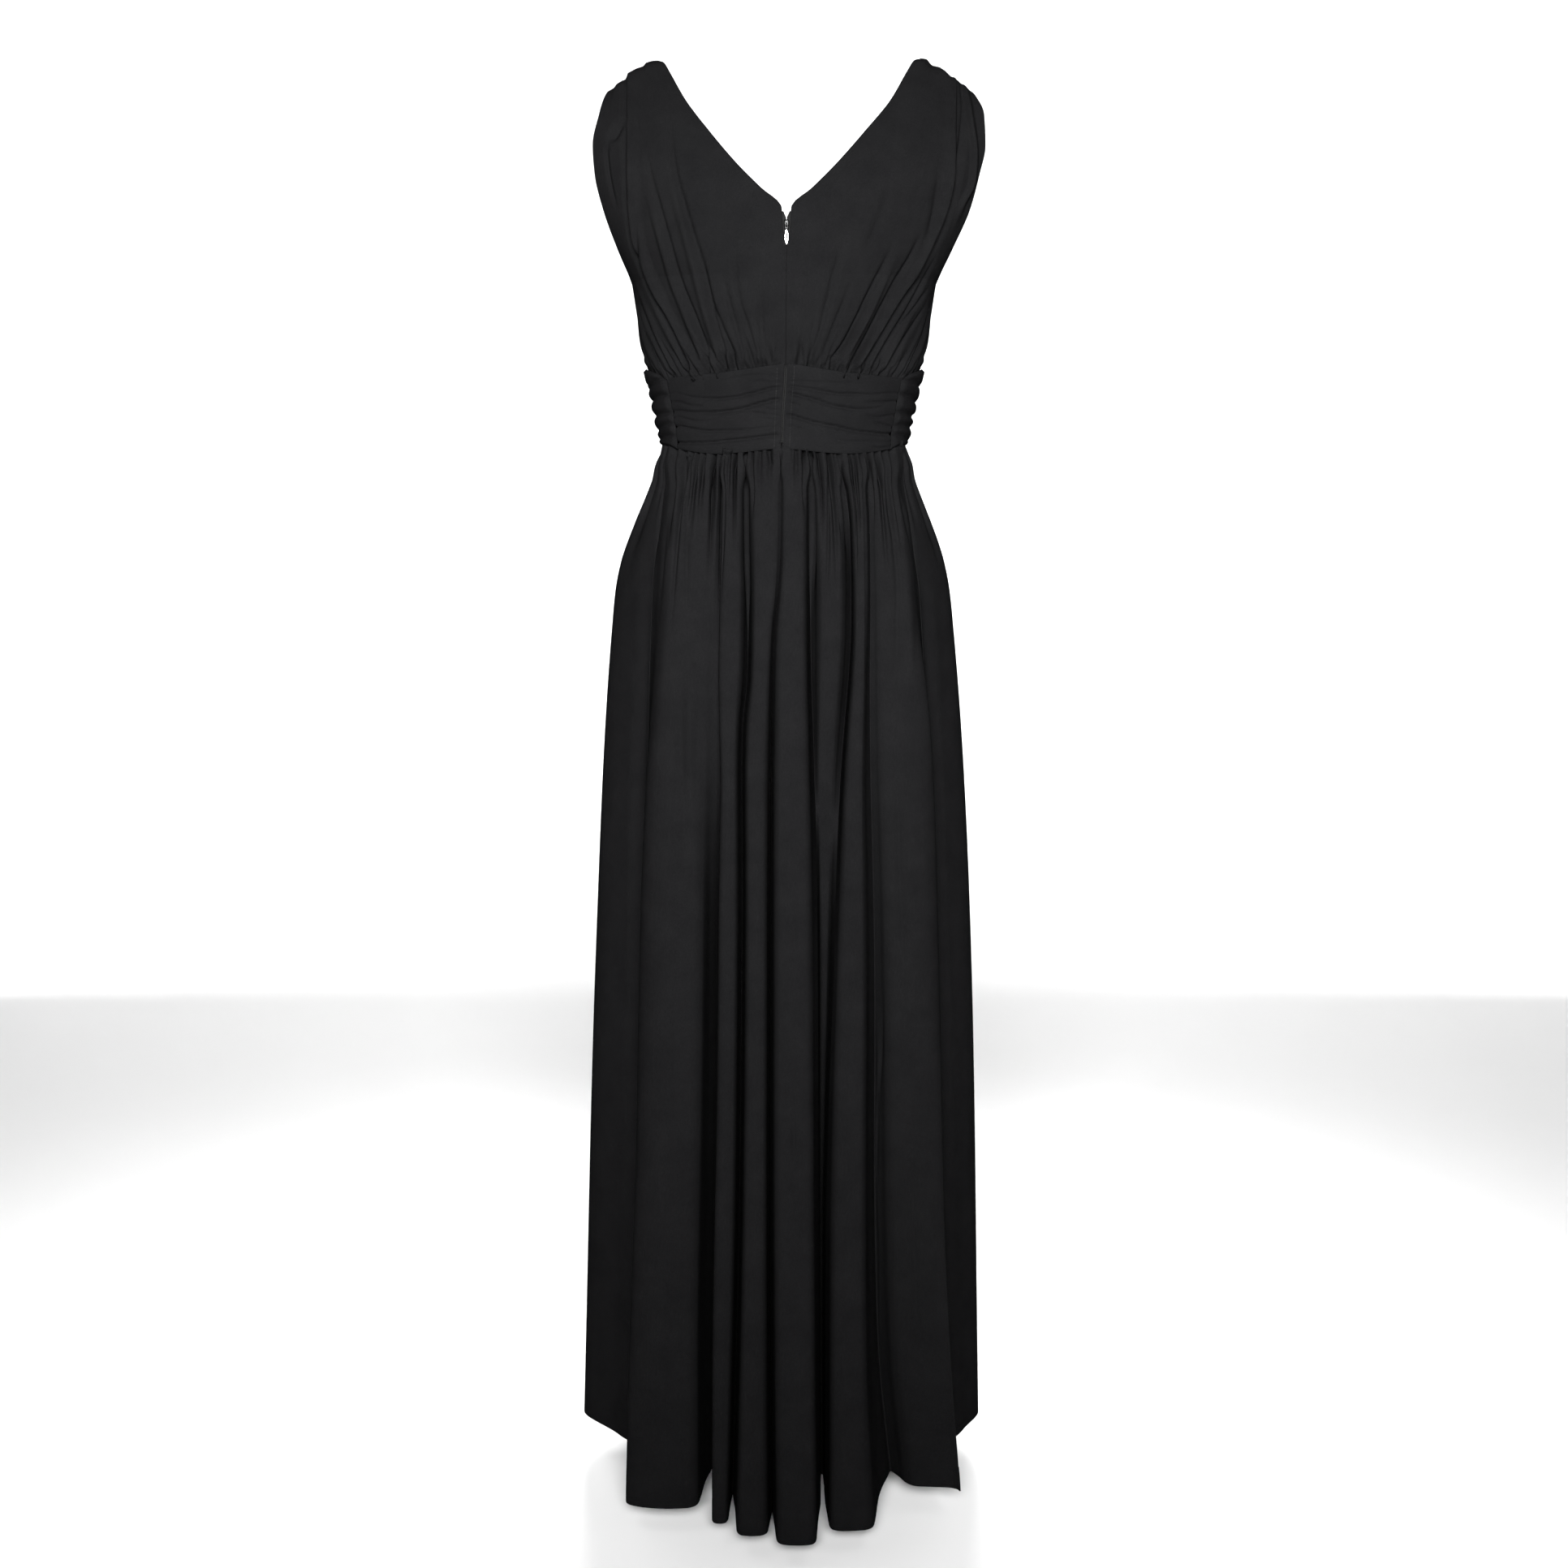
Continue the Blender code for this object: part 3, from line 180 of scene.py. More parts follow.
# Creases listed one by one, before they are deepened. Each is height (- for a hollow), half width
# on its +x (or upper) side and on its other side, how full it is at its first and last point, then
# its line. Upright creases are (x, z) from the waist up or down; creases of the band are (x, z)
# across.
BODICE_CREASES_LEFT = (
    (3.4, 2.2, 11, 0.9, 0.35, ((-298, 90.3), (-269, 106.3), (-232, 124.0), (-205, 136.1),
        (-179, 145.0), (-143, 149.1), (-112, 150.5), (-73, 152.0), (-17, 154.2))),
    (-3.0, 6.5, 1.8, 0.9, 0.5, ((-298, 91.9), (-269, 108.7), (-232, 126.5), (-204, 138.6),
        (-179, 147.6), (-143, 151.6), (-112, 152.9), (-72, 154.4), (-17, 156.6))),
    (-3.2, 5, 4, 1.0, 0.0, ((-298, 92.7), (-275, 103.4), (-248, 117.1), (-224, 131.0),
        (-192, 141.3), (-159, 143.1), (-136, 143.3))),
    (-2.8, 5.5, 3.5, 1.0, 0.0, ((-286, 74.1), (-253, 86.6), (-218, 100.8), (-184, 110.7),
        (-150, 120.0), (-110, 130.3), (-74, 136.6))),
    (1.8, 5, 6, 1.0, 0.0, ((-289, 80.5), (-254, 94.7), (-221, 108.2), (-187, 118.0), (-154, 127.2),
        (-117, 135.9))),
    (-3.2, 7, 3.0, 1.0, 0.0, ((-286, 57.4), (-249, 69.0), (-209, 78.3), (-168, 89.8), (-136, 99.2),
        (-112, 104.8), (-75, 109.4), (-36, 113.6))),
    (1.8, 6, 5, 1.0, 0.0, ((-288, 64.5), (-251, 76.2), (-212, 86.3), (-169, 97.7), (-136, 107.1),
        (-107, 113.6))),
    (-2.6, 4.5, 3.0, 1.0, 0.0, ((-288, 48.7), (-264, 59.6), (-236, 70.5), (-202, 78.2),
        (-170, 84.3))),
    (-2.2, 4, 3.0, 1.0, 0.0, ((-289, 26.7), (-268, 32.9), (-236, 43.7), (-205, 47.6),
        (-179, 49.8))),
    (-2.0, 4, 3.0, 1.0, 0.0, ((-290, 39.2), (-268, 45.4), (-236, 54.0), (-209, 59.3))),
    (-1.4, 5, 5, 1.0, 0.0, ((-293, 18.0), (-263, 21.9), (-237, 22.2), (-210, 22.6))),
    (-2.4, 4, 3, 1.0, 0.0, ((-304, 110.9), (-285, 120.7), (-257, 134.8), (-225, 146.2))),
    (-2.0, 3.5, 3, 1.0, 0.0, ((-304, 118.5), (-284, 129.3), (-262, 139.4))),
    (-1.6, 3.0, 2.0, 1.0, 0.0, ((-298, 7.8), (-290, 7.8), (-281, 5.5))),
    (-4.0, 10, 8, 0.0, 0.0, ((-84, 169.7), (-74, 165.8), (-63, 160.4), (-53, 155.1))),
    (-1.4, 4, 3, 0.0, 0.0, ((-151, 161.8), (-122, 169.6), (-94, 172.9), (-69, 170.1))),
    (-0.9, 2.0, 1.8, 0.6, 0.0, ((-170, 6.2), (-156, 19.4), (-140, 30.3), (-119, 40.5),
        (-102, 51.5))),
)
BODICE_CREASES_RIGHT = (
    (3.4, 11, 2.2, 0.9, 0.35, ((-297, -77.4), (-264, -98.0), (-224, -120.5), (-195, -137.9),
        (-166, -151.9), (-142, -159.7), (-114, -164.2), (-70, -166.5), (-16, -169.6))),
    (-4.6, 3.0, 9, 1.0, 0.2, ((-298, -75.8), (-268, -94.8), (-233, -115.7), (-208, -131.9),
        (-181, -145.8), (-152, -158.2), (-123, -166.0), (-87, -171.0), (-48, -175.4))),
    (3.0, 4, 6, 0.0, 0.6, ((-171, -164.2), (-140, -174.8), (-120, -183.7), (-93, -185.8),
        (-60, -183.2), (-30, -179.6))),
    (-4.2, 5, 4.5, 1.0, 0.0, ((-296, -68.6), (-282, -76.4), (-250, -92.8), (-220, -108.9),
        (-192, -125.0), (-163, -137.0))),
    (-4.2, 5, 4.5, 1.0, 0.0, ((-294, -47.1), (-281, -57.8), (-259, -69.9), (-230, -84.0),
        (-203, -97.3), (-180, -107.4))),
    (1.8, 4, 4, 1.0, 0.0, ((-294, -58.2), (-277, -68.4), (-250, -83.4), (-218, -98.4),
        (-191, -111.5))),
    (-2.6, 6, 5, 1.0, 0.0, ((-292, -27.4), (-273, -33.7), (-244, -41.4), (-203, -52.2),
        (-171, -60.7))),
    (-2.0, 4, 4, 1.0, 0.0, ((-293, -37.7), (-272, -45.4), (-241, -57.9), (-212, -68.8))),
    (-2.6, 4, 3.5, 1.0, 0.0, ((-297, -88.6), (-276, -101.4), (-246, -120.7), (-210, -140.3),
        (-178, -155.9))),
    (-2.4, 4, 3.5, 1.0, 0.0, ((-291, -95.9), (-268, -109.5), (-241, -129.2), (-213, -148.1))),
    (-2.0, 3.5, 3, 1.0, 0.0, ((-295, -105.0), (-276, -116.3), (-250, -132.8), (-231, -143.1))),
    (-2.0, 2.2, 2.6, 1.0, 0.0, ((-298, -18.0), (-289, -17.2), (-281, -15.7), (-274, -11.7))),
    (-1.2, 4, 4, 1.0, 0.0, ((-296, -23.5), (-278, -26.6), (-248, -31.2))),
    (-1.2, 7, 7, 0.0, 0.0, ((-208, -73.5), (-178, -85.1), (-147, -96.8), (-111, -103.2))),
    (-1.6, 6, 6, 0.0, 0.0, ((-204, -130.0), (-170, -142.1), (-136, -148.0), (-97, -151.2))),
    (-0.8, 1.8, 2.2, 0.6, 0.4, ((-170, -12.4), (-157, -25.6), (-138, -38.9), (-118, -53.0))),
    (-2.2, 3.2, 2.6, 0.0, 0.3, ((-150, -30.4), (-138, -38.9), (-118, -53.0), (-105, -62.4),
        (-92, -70.5))),
)
BAND_LEFT = (
    (-2.6, 2.0, 4.0, 1.0, 0.2, ((9.4, -321.8), (29.9, -327.0), (48.1, -330.6), (63.2, -331.8),
        (85.8, -330.3), (105.4, -324.6))),
    (-3.4, 2.2, 5.0, 1.0, 0.5, ((9.4, -333.4), (24.4, -337.1), (41.0, -341.6), (68.9, -344.8),
        (85.9, -344.3), (103.2, -341.9))),
    (-2.2, 2.0, 3.6, 0.3, 0.9, ((13.4, -359.6), (41.1, -362.5), (69.1, -362.7), (86.1, -360.6),
        (101.8, -356.8))),
    (-2.8, 2.0, 4.0, 1.0, 0.9, ((11.8, -367.4), (32.4, -370.0), (52.3, -371.7), (74.8, -373.5),
        (97.8, -373.1), (115.7, -370.0))),
    (-1.2, 2.0, 3.0, 0.8, 0.0, ((11.8, -317.2), (24.4, -316.3), (36.2, -319.3))),
    (-1.4, 1.8, 3.0, 0.7, 0.0, ((13.4, -348.0), (24.4, -346.4), (41.0, -343.9), (49.0, -341.4))),
    (-1.4, 1.6, 2.2, 0.9, 0.0, ((7.9, -343.4), (14.2, -343.0), (19.7, -339.5), (22.0, -337.2))),
    (-1.2, 1.6, 2.6, 0.7, 0.0, ((11.0, -352.7), (20.5, -351.1), (32.3, -347.1))),
    (-1.2, 2.0, 3.0, 0.0, 0.9, ((76.1, -338.4), (88.3, -337.9), (103.9, -333.2))),
    (-1.0, 2.0, 3.0, 0.0, 0.9, ((68.2, -353.4), (84.4, -352.9), (102.5, -348.1))),
    (-1.0, 2.0, 3.2, 0.5, 0.0, ((12.6, -311.0), (28.3, -310.1), (48.0, -312.9), (67.9, -317.0))),
)
BAND_RIGHT = (
    (-1.2, 1.8, 3.0, 0.9, 0.0, ((-8.6, -316.4), (-34.6, -317.0), (-58.4, -317.3), (-82.4, -317.3))),
    (-2.4, 2.0, 3.6, 1.0, 0.4, ((-8.6, -321.0), (-29.9, -324.0), (-56.0, -327.4), (-82.5, -327.3),
        (-108.0, -324.4))),
    (-1.8, 1.8, 3.0, 0.0, 0.8, ((-77.7, -334.5), (-90.7, -334.3), (-113.1, -331.9))),
    (-2.8, 2.0, 4.4, 1.0, 0.2, ((-6.3, -327.2), (-29.9, -333.2), (-50.5, -339.1), (-72.1, -341.6),
        (-88.3, -340.3), (-100.6, -335.8))),
    (-3.0, 2.0, 4.6, 1.0, 0.9, ((-6.3, -348.1), (-30.0, -354.9), (-50.6, -358.5), (-72.3, -362.6),
        (-100.2, -364.3), (-114.1, -362.0))),
    (-1.2, 1.6, 2.4, 0.8, 0.0, ((-6.3, -358.9), (-13.4, -360.4), (-20.5, -363.5))),
    (-1.8, 1.8, 3.0, 0.0, 0.8, ((-85.2, -352.9), (-97.6, -355.4), (-110.9, -358.0))),
    (-1.6, 1.8, 3.0, 0.0, 0.8, ((-82.1, -376.5), (-93.6, -378.4), (-104.5, -377.1))),
    (-1.4, 1.6, 2.0, 0.9, 0.0, ((-7.1, -336.5), (-13.4, -338.8), (-17.3, -341.8))),
    (-1.6, 1.8, 3.0, 0.0, 0.7, ((-74.6, -345.4), (-90.9, -348.7), (-107.5, -345.5))),
    (-1.2, 1.8, 3.0, 0.0, 0.5, ((-42.7, -371.1), (-66.7, -373.0), (-91.1, -372.2))),
)
BAND_CREASES = {1: BAND_LEFT, -1: BAND_RIGHT}
SKIRT_CREASES_LEFT = (
    (-2.2, 7, 5, 1.0, 0.0, ((-390, 96.0), (-449, 95.3), (-496, 94.8), (-553, 94.6))),
    (-4.0, 3.5, 3.5, 1.0, 0.0, ((-390, 95.2), (-417, 99.8), (-437, 103.6), (-453, 106.6))),
    (-3.0, 2.6, 4.0, 1.0, 0.0, ((-387, 59.5), (-418, 59.3), (-455, 59.9), (-496, 61.3),
        (-543, 62.8))),
    (-2.6, 4.0, 3.0, 1.0, 0.0, ((-388, 86.2), (-417, 88.3), (-449, 92.0), (-480, 94.9))),
    (-2.2, 3.0, 3.0, 1.0, 0.0, ((-390, 78.8), (-417, 81.1), (-449, 84.0))),
    (-2.6, 3.0, 3.4, 1.0, 0.0, ((-390, 68.3), (-425, 68.1), (-457, 69.5))),
    (-2.6, 3.0, 3.4, 1.0, 0.0, ((-388, 47.5), (-410, 48.2), (-433, 49.7))),
    (-3.0, 2.6, 3.0, 1.0, 0.0, ((-386, 15.8), (-391, 13.4), (-399, 10.3))),
    (1.6, 5, 5, 0.0, 0.0, ((-388, 116.5), (-416, 124.3), (-447, 131.1), (-486, 139.4),
        (-506, 143.9), (-544, 148.6))),
    (-1.8, 5, 4, 0.0, 0.0, ((-416, 109.8), (-449, 115.0), (-496, 119.2), (-544, 123.1),
        (-599, 127.2))),
    (-1.6, 11, 9, 0.0, 0.0, ((-543, 99.3), (-621, 100.7), (-715, 97.6), (-826, 95.4))),
    (1.4, 10, 9, 0.0, 0.0, ((-574, 89.8), (-653, 91.3), (-747, 94.5))),
    (-1.8, 6, 6, 0.0, 0.0, ((-496, 149.2), (-560, 154.5), (-630, 157.3), (-701, 158.6))),
)
SKIRT_CREASES_RIGHT = (
    (-2.6, 3.2, 3.2, 1.0, 0.0, ((-386, -19.0), (-410, -19.7), (-437, -20.5))),
    (-3.0, 3.4, 3.4, 1.0, 0.0, ((-391, -44.3), (-433, -43.4), (-491, -42.4), (-527, -40.0))),
    (-2.6, 3.0, 3.0, 1.0, 0.0, ((-391, -50.7), (-418, -52.9), (-449, -55.2), (-480, -56.6))),
    (-2.2, 4.5, 5, 1.0, 0.0, ((-390, -91.1), (-417, -97.3), (-449, -104.2), (-484, -112.8))),
    (-3.0, 3.0, 4.0, 1.0, 0.0, ((-386, -109.6), (-424, -115.6), (-460, -122.4), (-496, -129.6))),
    (1.4, 3.4, 4.0, 0.6, 0.0, ((-385, -114.8), (-424, -122.8), (-460, -129.9), (-496, -132.7))),
    (-3.2, 5, 5, 0.0, 0.0, ((-545, -157.9), (-603, -162.4), (-643, -158.4), (-671, -153.2),
        (-722, -141.7))),
    (1.8, 4, 4, 0.0, 0.0, ((-602, -166.3), (-643, -163.5), (-675, -159.4), (-728, -152.5))),
    (-2.0, 8, 8, 0.0, 0.0, ((-449, -106.7), (-512, -110.9), (-575, -109.9), (-638, -104.2))),
    (1.4, 7, 7, 0.0, 0.0, ((-448, -117.5), (-512, -123.2), (-575, -123.6), (-638, -120.2))),
    (-1.6, 2.6, 3.0, 0.0, 0.4, ((-882, -94.2), (-922, -96.7), (-971, -96.2), (-1020, -92.6),
        (-1094, -91.4), (-1184, -93.3))),
    (-1.2, 2.4, 2.4, 0.0, 0.4, ((-963, -85.9), (-1036, -87.8), (-1117, -89.6), (-1214, -91.4))),
    (1.2, 2.4, 2.4, 0.0, 0.3, ((-923, -91.4), (-996, -93.2), (-1070, -90.5), (-1168, -94.9))),
    (-1.6, 9, 10, 0.0, 0.0, ((-653, -108.9), (-771, -112.1), (-890, -116.3), (-1018, -119.2))),
    (-1.4, 8, 8, 0.0, 0.0, ((-1034, -124.0), (-1131, -127.6), (-1245, -131.3), (-1327, -134.9))),
    (-1.2, 5, 5, 0.0, 0.0, ((-988, -6.2), (-1034, -9.3), (-1079, -7.7))),
)

# Main folds of the skirt back. A crest has its depth at the hip, knee and hem, then its line as
# (z, x). A hollow has the share of the way to it where the wall from the crest before it drops,
# the same for the crest after it, how deep it is at the hollow heights, then its line.
HOLLOW_HEIGHTS = (-383, -420, -470, -520, -600, -700, -800, -900, -1050, -1200, -1405)
BACK_CRESTS = {
    "right_edge_6": ((84, 113, 148), ((-408, -116.0), (-448, -122.0), (-528, -128.3),
        (-615, -140.4), (-695, -146.9), (-914, -153.7), (-1135, -159.0), (-1297, -166.7),
        (-1393, -175.0))),
    "right_crest_6": ((97, 136, 142), ((-389, -94.8), (-449, -100.1), (-528, -106.1),
        (-614, -110.8), (-693, -114.0), (-909, -121.9), (-1131, -127.6), (-1294, -138.0),
        (-1393, -152.9))),
    "right_crest_5": ((112, 163, 226), ((-390, -71.1), (-449, -74.9), (-527, -75.5), (-613, -73.0),
        (-691, -69.0), (-904, -66.4), (-1117, -62.4), (-1271, -59.2), (-1401, -57.6))),
    "right_ridge_4": ((116, 106, 118), ((-390, -39.5), (-449, -44.1), (-527, -45.5), (-613, -42.3),
        (-691, -38.3), (-845, -38.2), (-961, -38.2), (-1073, -37.4), (-1192, -36.9),
        (-1384, -38.0))),
    "right_crest_4": ((124, 182, 257), ((-390, -10.3), (-449, -10.2), (-527, -9.4), (-612, -7.8),
        (-690, -6.2), (-900, -8.5), (-1109, -10.8), (-1260, -12.3), (-1403, -13.8))),
    "left_crest_3": ((122, 172, 237), ((-390, 19.7), (-449, 19.7), (-527, 20.3), (-613, 23.4),
        (-690, 27.3), (-806, 26.9), (-960, 26.4), (-1113, 27.9), (-1265, 29.4), (-1394, 30.9))),
    "left_crest_2": ((119, 165, 211), ((-390, 48.2), (-449, 48.8), (-527, 50.9), (-613, 54.0),
        (-691, 54.0), (-904, 54.6), (-1117, 57.0), (-1272, 60.1), (-1396, 62.4))),
    "left_crest_1": ((105, 149, 182), ((-390, 87.2), (-449, 91.8), (-528, 97.0), (-614, 102.5),
        (-692, 107.9), (-907, 110.9), (-1123, 115.1), (-1281, 116.8), (-1400, 113.8))),
    "left_edge_1": ((91, 118, 168), ((-400, 113.0), (-448, 117.0), (-528, 120.7), (-615, 127.2),
        (-694, 134.5), (-813, 140.3), (-913, 142.9), (-1092, 146.1), (-1211, 151.0),
        (-1403, 155.9))),
}
BACK_HOLLOWS = {
    "right_valley_5": (0.74, 0.60, (0, 5, 6, 7, 9, 13, 17, 20, 23, 26, 30),
                       ((-389, -80.5), (-449, -84.2), (-528, -84.7), (-614, -83.9), (-693, -84.7),
                           (-811, -87.8), (-909, -89.4), (-1086, -90.0), (-1212, -92.8),
                           (-1335, -98.0), (-1397, -107.9))),
    "right_valley_4": (0.86, 0.70, (0, 13, 20, 26, 28, 14, -18, -42, -48, -52, -56),
                       ((-391, -56.5), (-418, -60.5), (-449, -64.0), (-539, -66.0), (-587, -64.4),
                           (-623, -61.6), (-658, -58.8), (-687, -56.5), (-730, -54.1),
                           (-800, -50.9), (-885, -48.4), (-962, -45.3), (-1074, -42.1),
                           (-1194, -40.5), (-1386, -40.5))),
    "right_slit_4": (0.70, 0.80, (0, 14, 22, 24, 22, 8, -20, -42, -48, -52, -56),
                     ((-390, -24.5), (-449, -25.5), (-527, -25.8), (-586, -26.5), (-636, -28.1),
                         (-690, -29.6), (-766, -31.8), (-843, -32.6), (-1109, -33.9),
                         (-1260, -34.6), (-1373, -36.0))),
    "centre_back": (0.86, 0.84, (0, 5, 6, 10, 20, 30, 34, 38, 42, 46, 50),
                    ((-384, 2.4), (-449, 2.9), (-496, 3.9), (-531, 7.0), (-574, 10.9), (-636, 12.1),
                        (-690, 12.9), (-845, 13.6), (-1071, 14.0), (-1265, 13.1), (-1379, 11.6))),
    "left_valley_2": (0.76, 0.78, (0, 15, 25, 30, 34, 37, 40, 44, 48, 52, 56),
                      ((-388, 38.0), (-472, 36.9), (-527, 35.2), (-586, 35.2), (-620, 37.5),
                          (-651, 40.6), (-694, 41.4), (-806, 40.9), (-902, 41.6), (-1113, 43.8),
                          (-1265, 47.2), (-1387, 50.9))),
    "left_valley_1": (1.15, 0.70, (0, 2, 3, 3, 6, 16, 46, 66, 74, 80, 84),
                      ((-390, 59.2), (-449, 59.8), (-510, 61.2), (-613, 62.6), (-691, 61.0),
                          (-807, 62.5), (-904, 63.2), (-1039, 64.8), (-1117, 66.3), (-1233, 68.6),
                          (-1388, 69.4))),
}
RIGHT_ORDER = ("right_edge_6", "right_crest_6", "right_valley_5", "right_crest_5", "right_valley_4",
               "right_ridge_4", "right_slit_4", "right_crest_4")
LEFT_ORDER = ("centre_back", "left_crest_3", "left_valley_2", "left_crest_2", "left_valley_1",
              "left_crest_1", "left_edge_1")
# Form of the wall from a crest to a hollow: share of the way across, share of the depth, most depth
WALL_FORM = ((0.62, 0.06, 1.6), (0.93, 0.26, 8.0), (1.0, 0.62, 90.0))
SKIRT_CREASES = SKIRT_CREASES_LEFT + SKIRT_CREASES_RIGHT


def ease(value):
    """A soft step from 0 to 1."""
    value = np.clip(value, 0.0, 1.0)
    return value * value * (3 - 2 * value)


def bump(distance):
    """A rounded bump, 1 in the middle and 0 beyond a distance of 1."""
    return 0.5 + 0.5 * np.cos(np.pi * np.clip(distance, -1, 1))


def uneven(index, seed):
    """A fixed, uneven share between -1 and 1 for a repeated form."""
    return np.sin(index * 2.399 + seed) * 0.6 + np.sin(index * 5.13 + 2 * seed) * 0.4


def slope_between(before, after):
    """The slope at a point that keeps a curve from passing beyond its points."""
    same_way = before * after > 0
    total = np.where(same_way, before + after, 1.0)
    return np.where(same_way, 2 * before * after / total, 0.0)


def smooth(stations, values, at):
    """A smooth curve through a table's points that never passes beyond them."""
    xs = np.asarray(stations, float)
    ys = np.asarray(values, float)
    at = np.clip(np.asarray(at, float), xs.min(), xs.max())
    if xs[0] > xs[-1]:
        xs, ys = xs[::-1], ys[::-1]
    steps = np.diff(xs)
    rises = np.diff(ys, axis=0) / (steps if ys.ndim == 1 else steps[:, None])
    slopes = np.zeros_like(ys)
    slopes[1:-1] = slope_between(rises[:-1], rises[1:])
    slopes[0], slopes[-1] = rises[0], rises[-1]
    place = np.clip(np.searchsorted(xs, at, side="right") - 1, 0, len(steps) - 1)
    step, share = steps[place], (at - xs[place]) / steps[place]
    if ys.ndim > 1:
        step, share = step[..., None], share[..., None]
    return (ys[place] + (ys[place + 1] - ys[place]) * share * share * (3 - 2 * share)
            + step * (slopes[place] * share * (1 - share) ** 2
                      + slopes[place + 1] * share * share * (share - 1)))


def unit(vectors):
    """Vectors of length 1."""
    return vectors / np.maximum(np.linalg.norm(vectors, axis=-1, keepdims=True), 1e-9)


def normals_of(grid):
    """Directions out of a grid of points, to one side."""
    return unit(np.cross(np.gradient(grid, axis=1), np.gradient(grid, axis=0)))


def crease_relief(along, across, creases):
    """Height of the creases where one coordinate runs along their lines and one across them."""
    relief = np.zeros_like(along)
    for height, half_high, half_low, first_full, last_full, line in creases:
        line = np.array(line, float)
        middle = smooth(line[:, 0], line[:, 1], along)
        start, end = line[0, 0], line[-1, 0]
        share = (along - start) / (end - start)
        inside = ((share > 0) | (first_full > 0)) & ((share < 1) | (last_full > 0))
        grow = first_full + (1 - first_full) * ease(share / 0.35)
        fall = last_full + (1 - last_full) * ease((1 - share) / 0.45)
        half = np.where(across > middle, half_high, half_low)
        away = np.abs(across - middle) / half
        form = bump(away) if height > 0 else np.clip(1 - away, 0, 1) ** 1.6
        relief += height * inside * grow * fall * form
    return relief


# Waist and rib ring
def ring_point(degrees, z, out):
    """Points on the body ring. 0 degrees is the centre back and 90 the left side."""
    width, back, front = (smooth(RINGS[:, 0], RINGS[:, k], z) + out for k in (1, 2, 3))
    turn = np.radians(degrees)
    depth = np.where(np.cos(turn) >= 0, back, front)
    return width * np.sin(turn), depth * np.cos(turn)


def seam_height(edge, degrees):
    """Height of the band's top (1) or bottom (2) seam at this turn round the body."""
    return smooth(BAND_SEAMS[:, 0], BAND_SEAMS[:, edge], np.abs(degrees))


def zip_seam_x(z):
    """Where the centre back seam runs across at this height."""
    return smooth(ZIP_SEAM[:, 0], ZIP_SEAM[:, 1], z)


# Skirt
WRAP = 3
TABLE_Z = (WAIST_Z, HIP_Z, KNEE_Z, HEM_Z)
STATION_Z = np.array([WAIST_Z, -416, -450, -490, HIP_Z, -560, -600, -650, -700, -760, -820, KNEE_Z,
                      -960, -1050, -1150, -1270, HEM_Z])


def on_waist(x, front):
    """Depth of the waist seam at these places across."""
    width, back_depth, front_depth = RINGS[0, 1:] + WAIST_FULLNESS
    return (-front_depth if front else back_depth) * np.sqrt(np.maximum(0, 1 - (x / width) ** 2))


def crest_line(name):
    """A crest's points at the stations."""
    depths, line = BACK_CRESTS[name]
    line = np.array(line, float)
    x = smooth(line[:, 0], line[:, 1], STATION_Z)
    y = smooth(TABLE_Z, (on_waist(x[0], False), *depths), STATION_Z)
    return np.stack([x, y], axis=-1)


def hollow_line(name, before, after):
    """A hollow's points at the stations, below the lower of its two crests."""
    depths, line = BACK_HOLLOWS[name][2:]
    line = np.array(line, float)
    x = smooth(line[:, 0], line[:, 1], STATION_Z)
    level = np.minimum(before[:, 1], after[:, 1])
    y = level - smooth(HOLLOW_HEIGHTS, depths, STATION_Z)
    y[0] = on_waist(x[0], False)
    return np.stack([x, y], axis=-1)


def wall_lines(crest, hollow, edge):
    """Lines of the wall from a crest to a hollow, crest first."""
    deep = ease((crest[:, 1] - hollow[:, 1]) / 25)
    edge = np.minimum(edge, 1) + (edge - min(edge, 1)) * deep
    made = []
    depth = np.maximum(crest[:, 1] - hollow[:, 1], 1)
    for across, down, most in WALL_FORM:
        down = np.minimum(down, most / depth)
        reach = edge * across if across < 1 else edge + (1 - edge) * 0.35
        point = crest + (hollow - crest) * np.stack([reach, down], axis=-1)
        point[0, 1] = on_waist(point[0, 0], False)
        made.append(point)
    return made


def back_lines(order):
    """Every line of the skirt back in this order, as (name, points)."""
    crests = {name: crest_line(name) for name in BACK_CRESTS}
    lines = []
    for place, name in enumerate(order):
        if name in BACK_HOLLOWS:
            before, after = crests[order[place - 1]], crests[order[place + 1]]
            first, last = BACK_HOLLOWS[name][:2]
            hollow = hollow_line(name, before, after)
            lines += [("wall", wall) for wall in wall_lines(before, hollow, first)]
            lines.append((name, hollow))
            lines += [("wall", wall) for wall in wall_lines(after, hollow, last)[::-1]]
            continue
        lines.append((name, crests[name]))
        if name in ("right_edge_6", "left_crest_1"):
            crest, edge = (crests[n] for n in (("right_crest_6", name) if place == 0
                                               else (name, "left_edge_1")))
            side = crest + (edge - crest) * [0.6, 0.22]
            side[0, 1] = on_waist(side[0, 0], False)
            lines.append(("side", side))
    return lines


def skirt_controls():
    """The names of all lines from the centre back round the loop, and their points."""
    back = back_lines(RIGHT_ORDER + LEFT_ORDER)
    names = [name for name, _ in back]
    centre = names.index("centre_back")
    front = []
    for name, *row in SKIRT_LINES:
        x = smooth(TABLE_Z, row[:4], STATION_Z)
        y = smooth(TABLE_Z, (on_waist(x[0], name.startswith("front")), *row[4:]), STATION_Z)
        front.append((name, np.stack([x, y], axis=-1)))
    lines = back[centre:] + front + back[:centre]
    stations = np.stack([points for _, points in lines], axis=1)
    wrapped = np.concatenate([stations[:, -WRAP:], stations, stations[:, :WRAP]], axis=1)
    return [name for name, _ in lines], wrapped


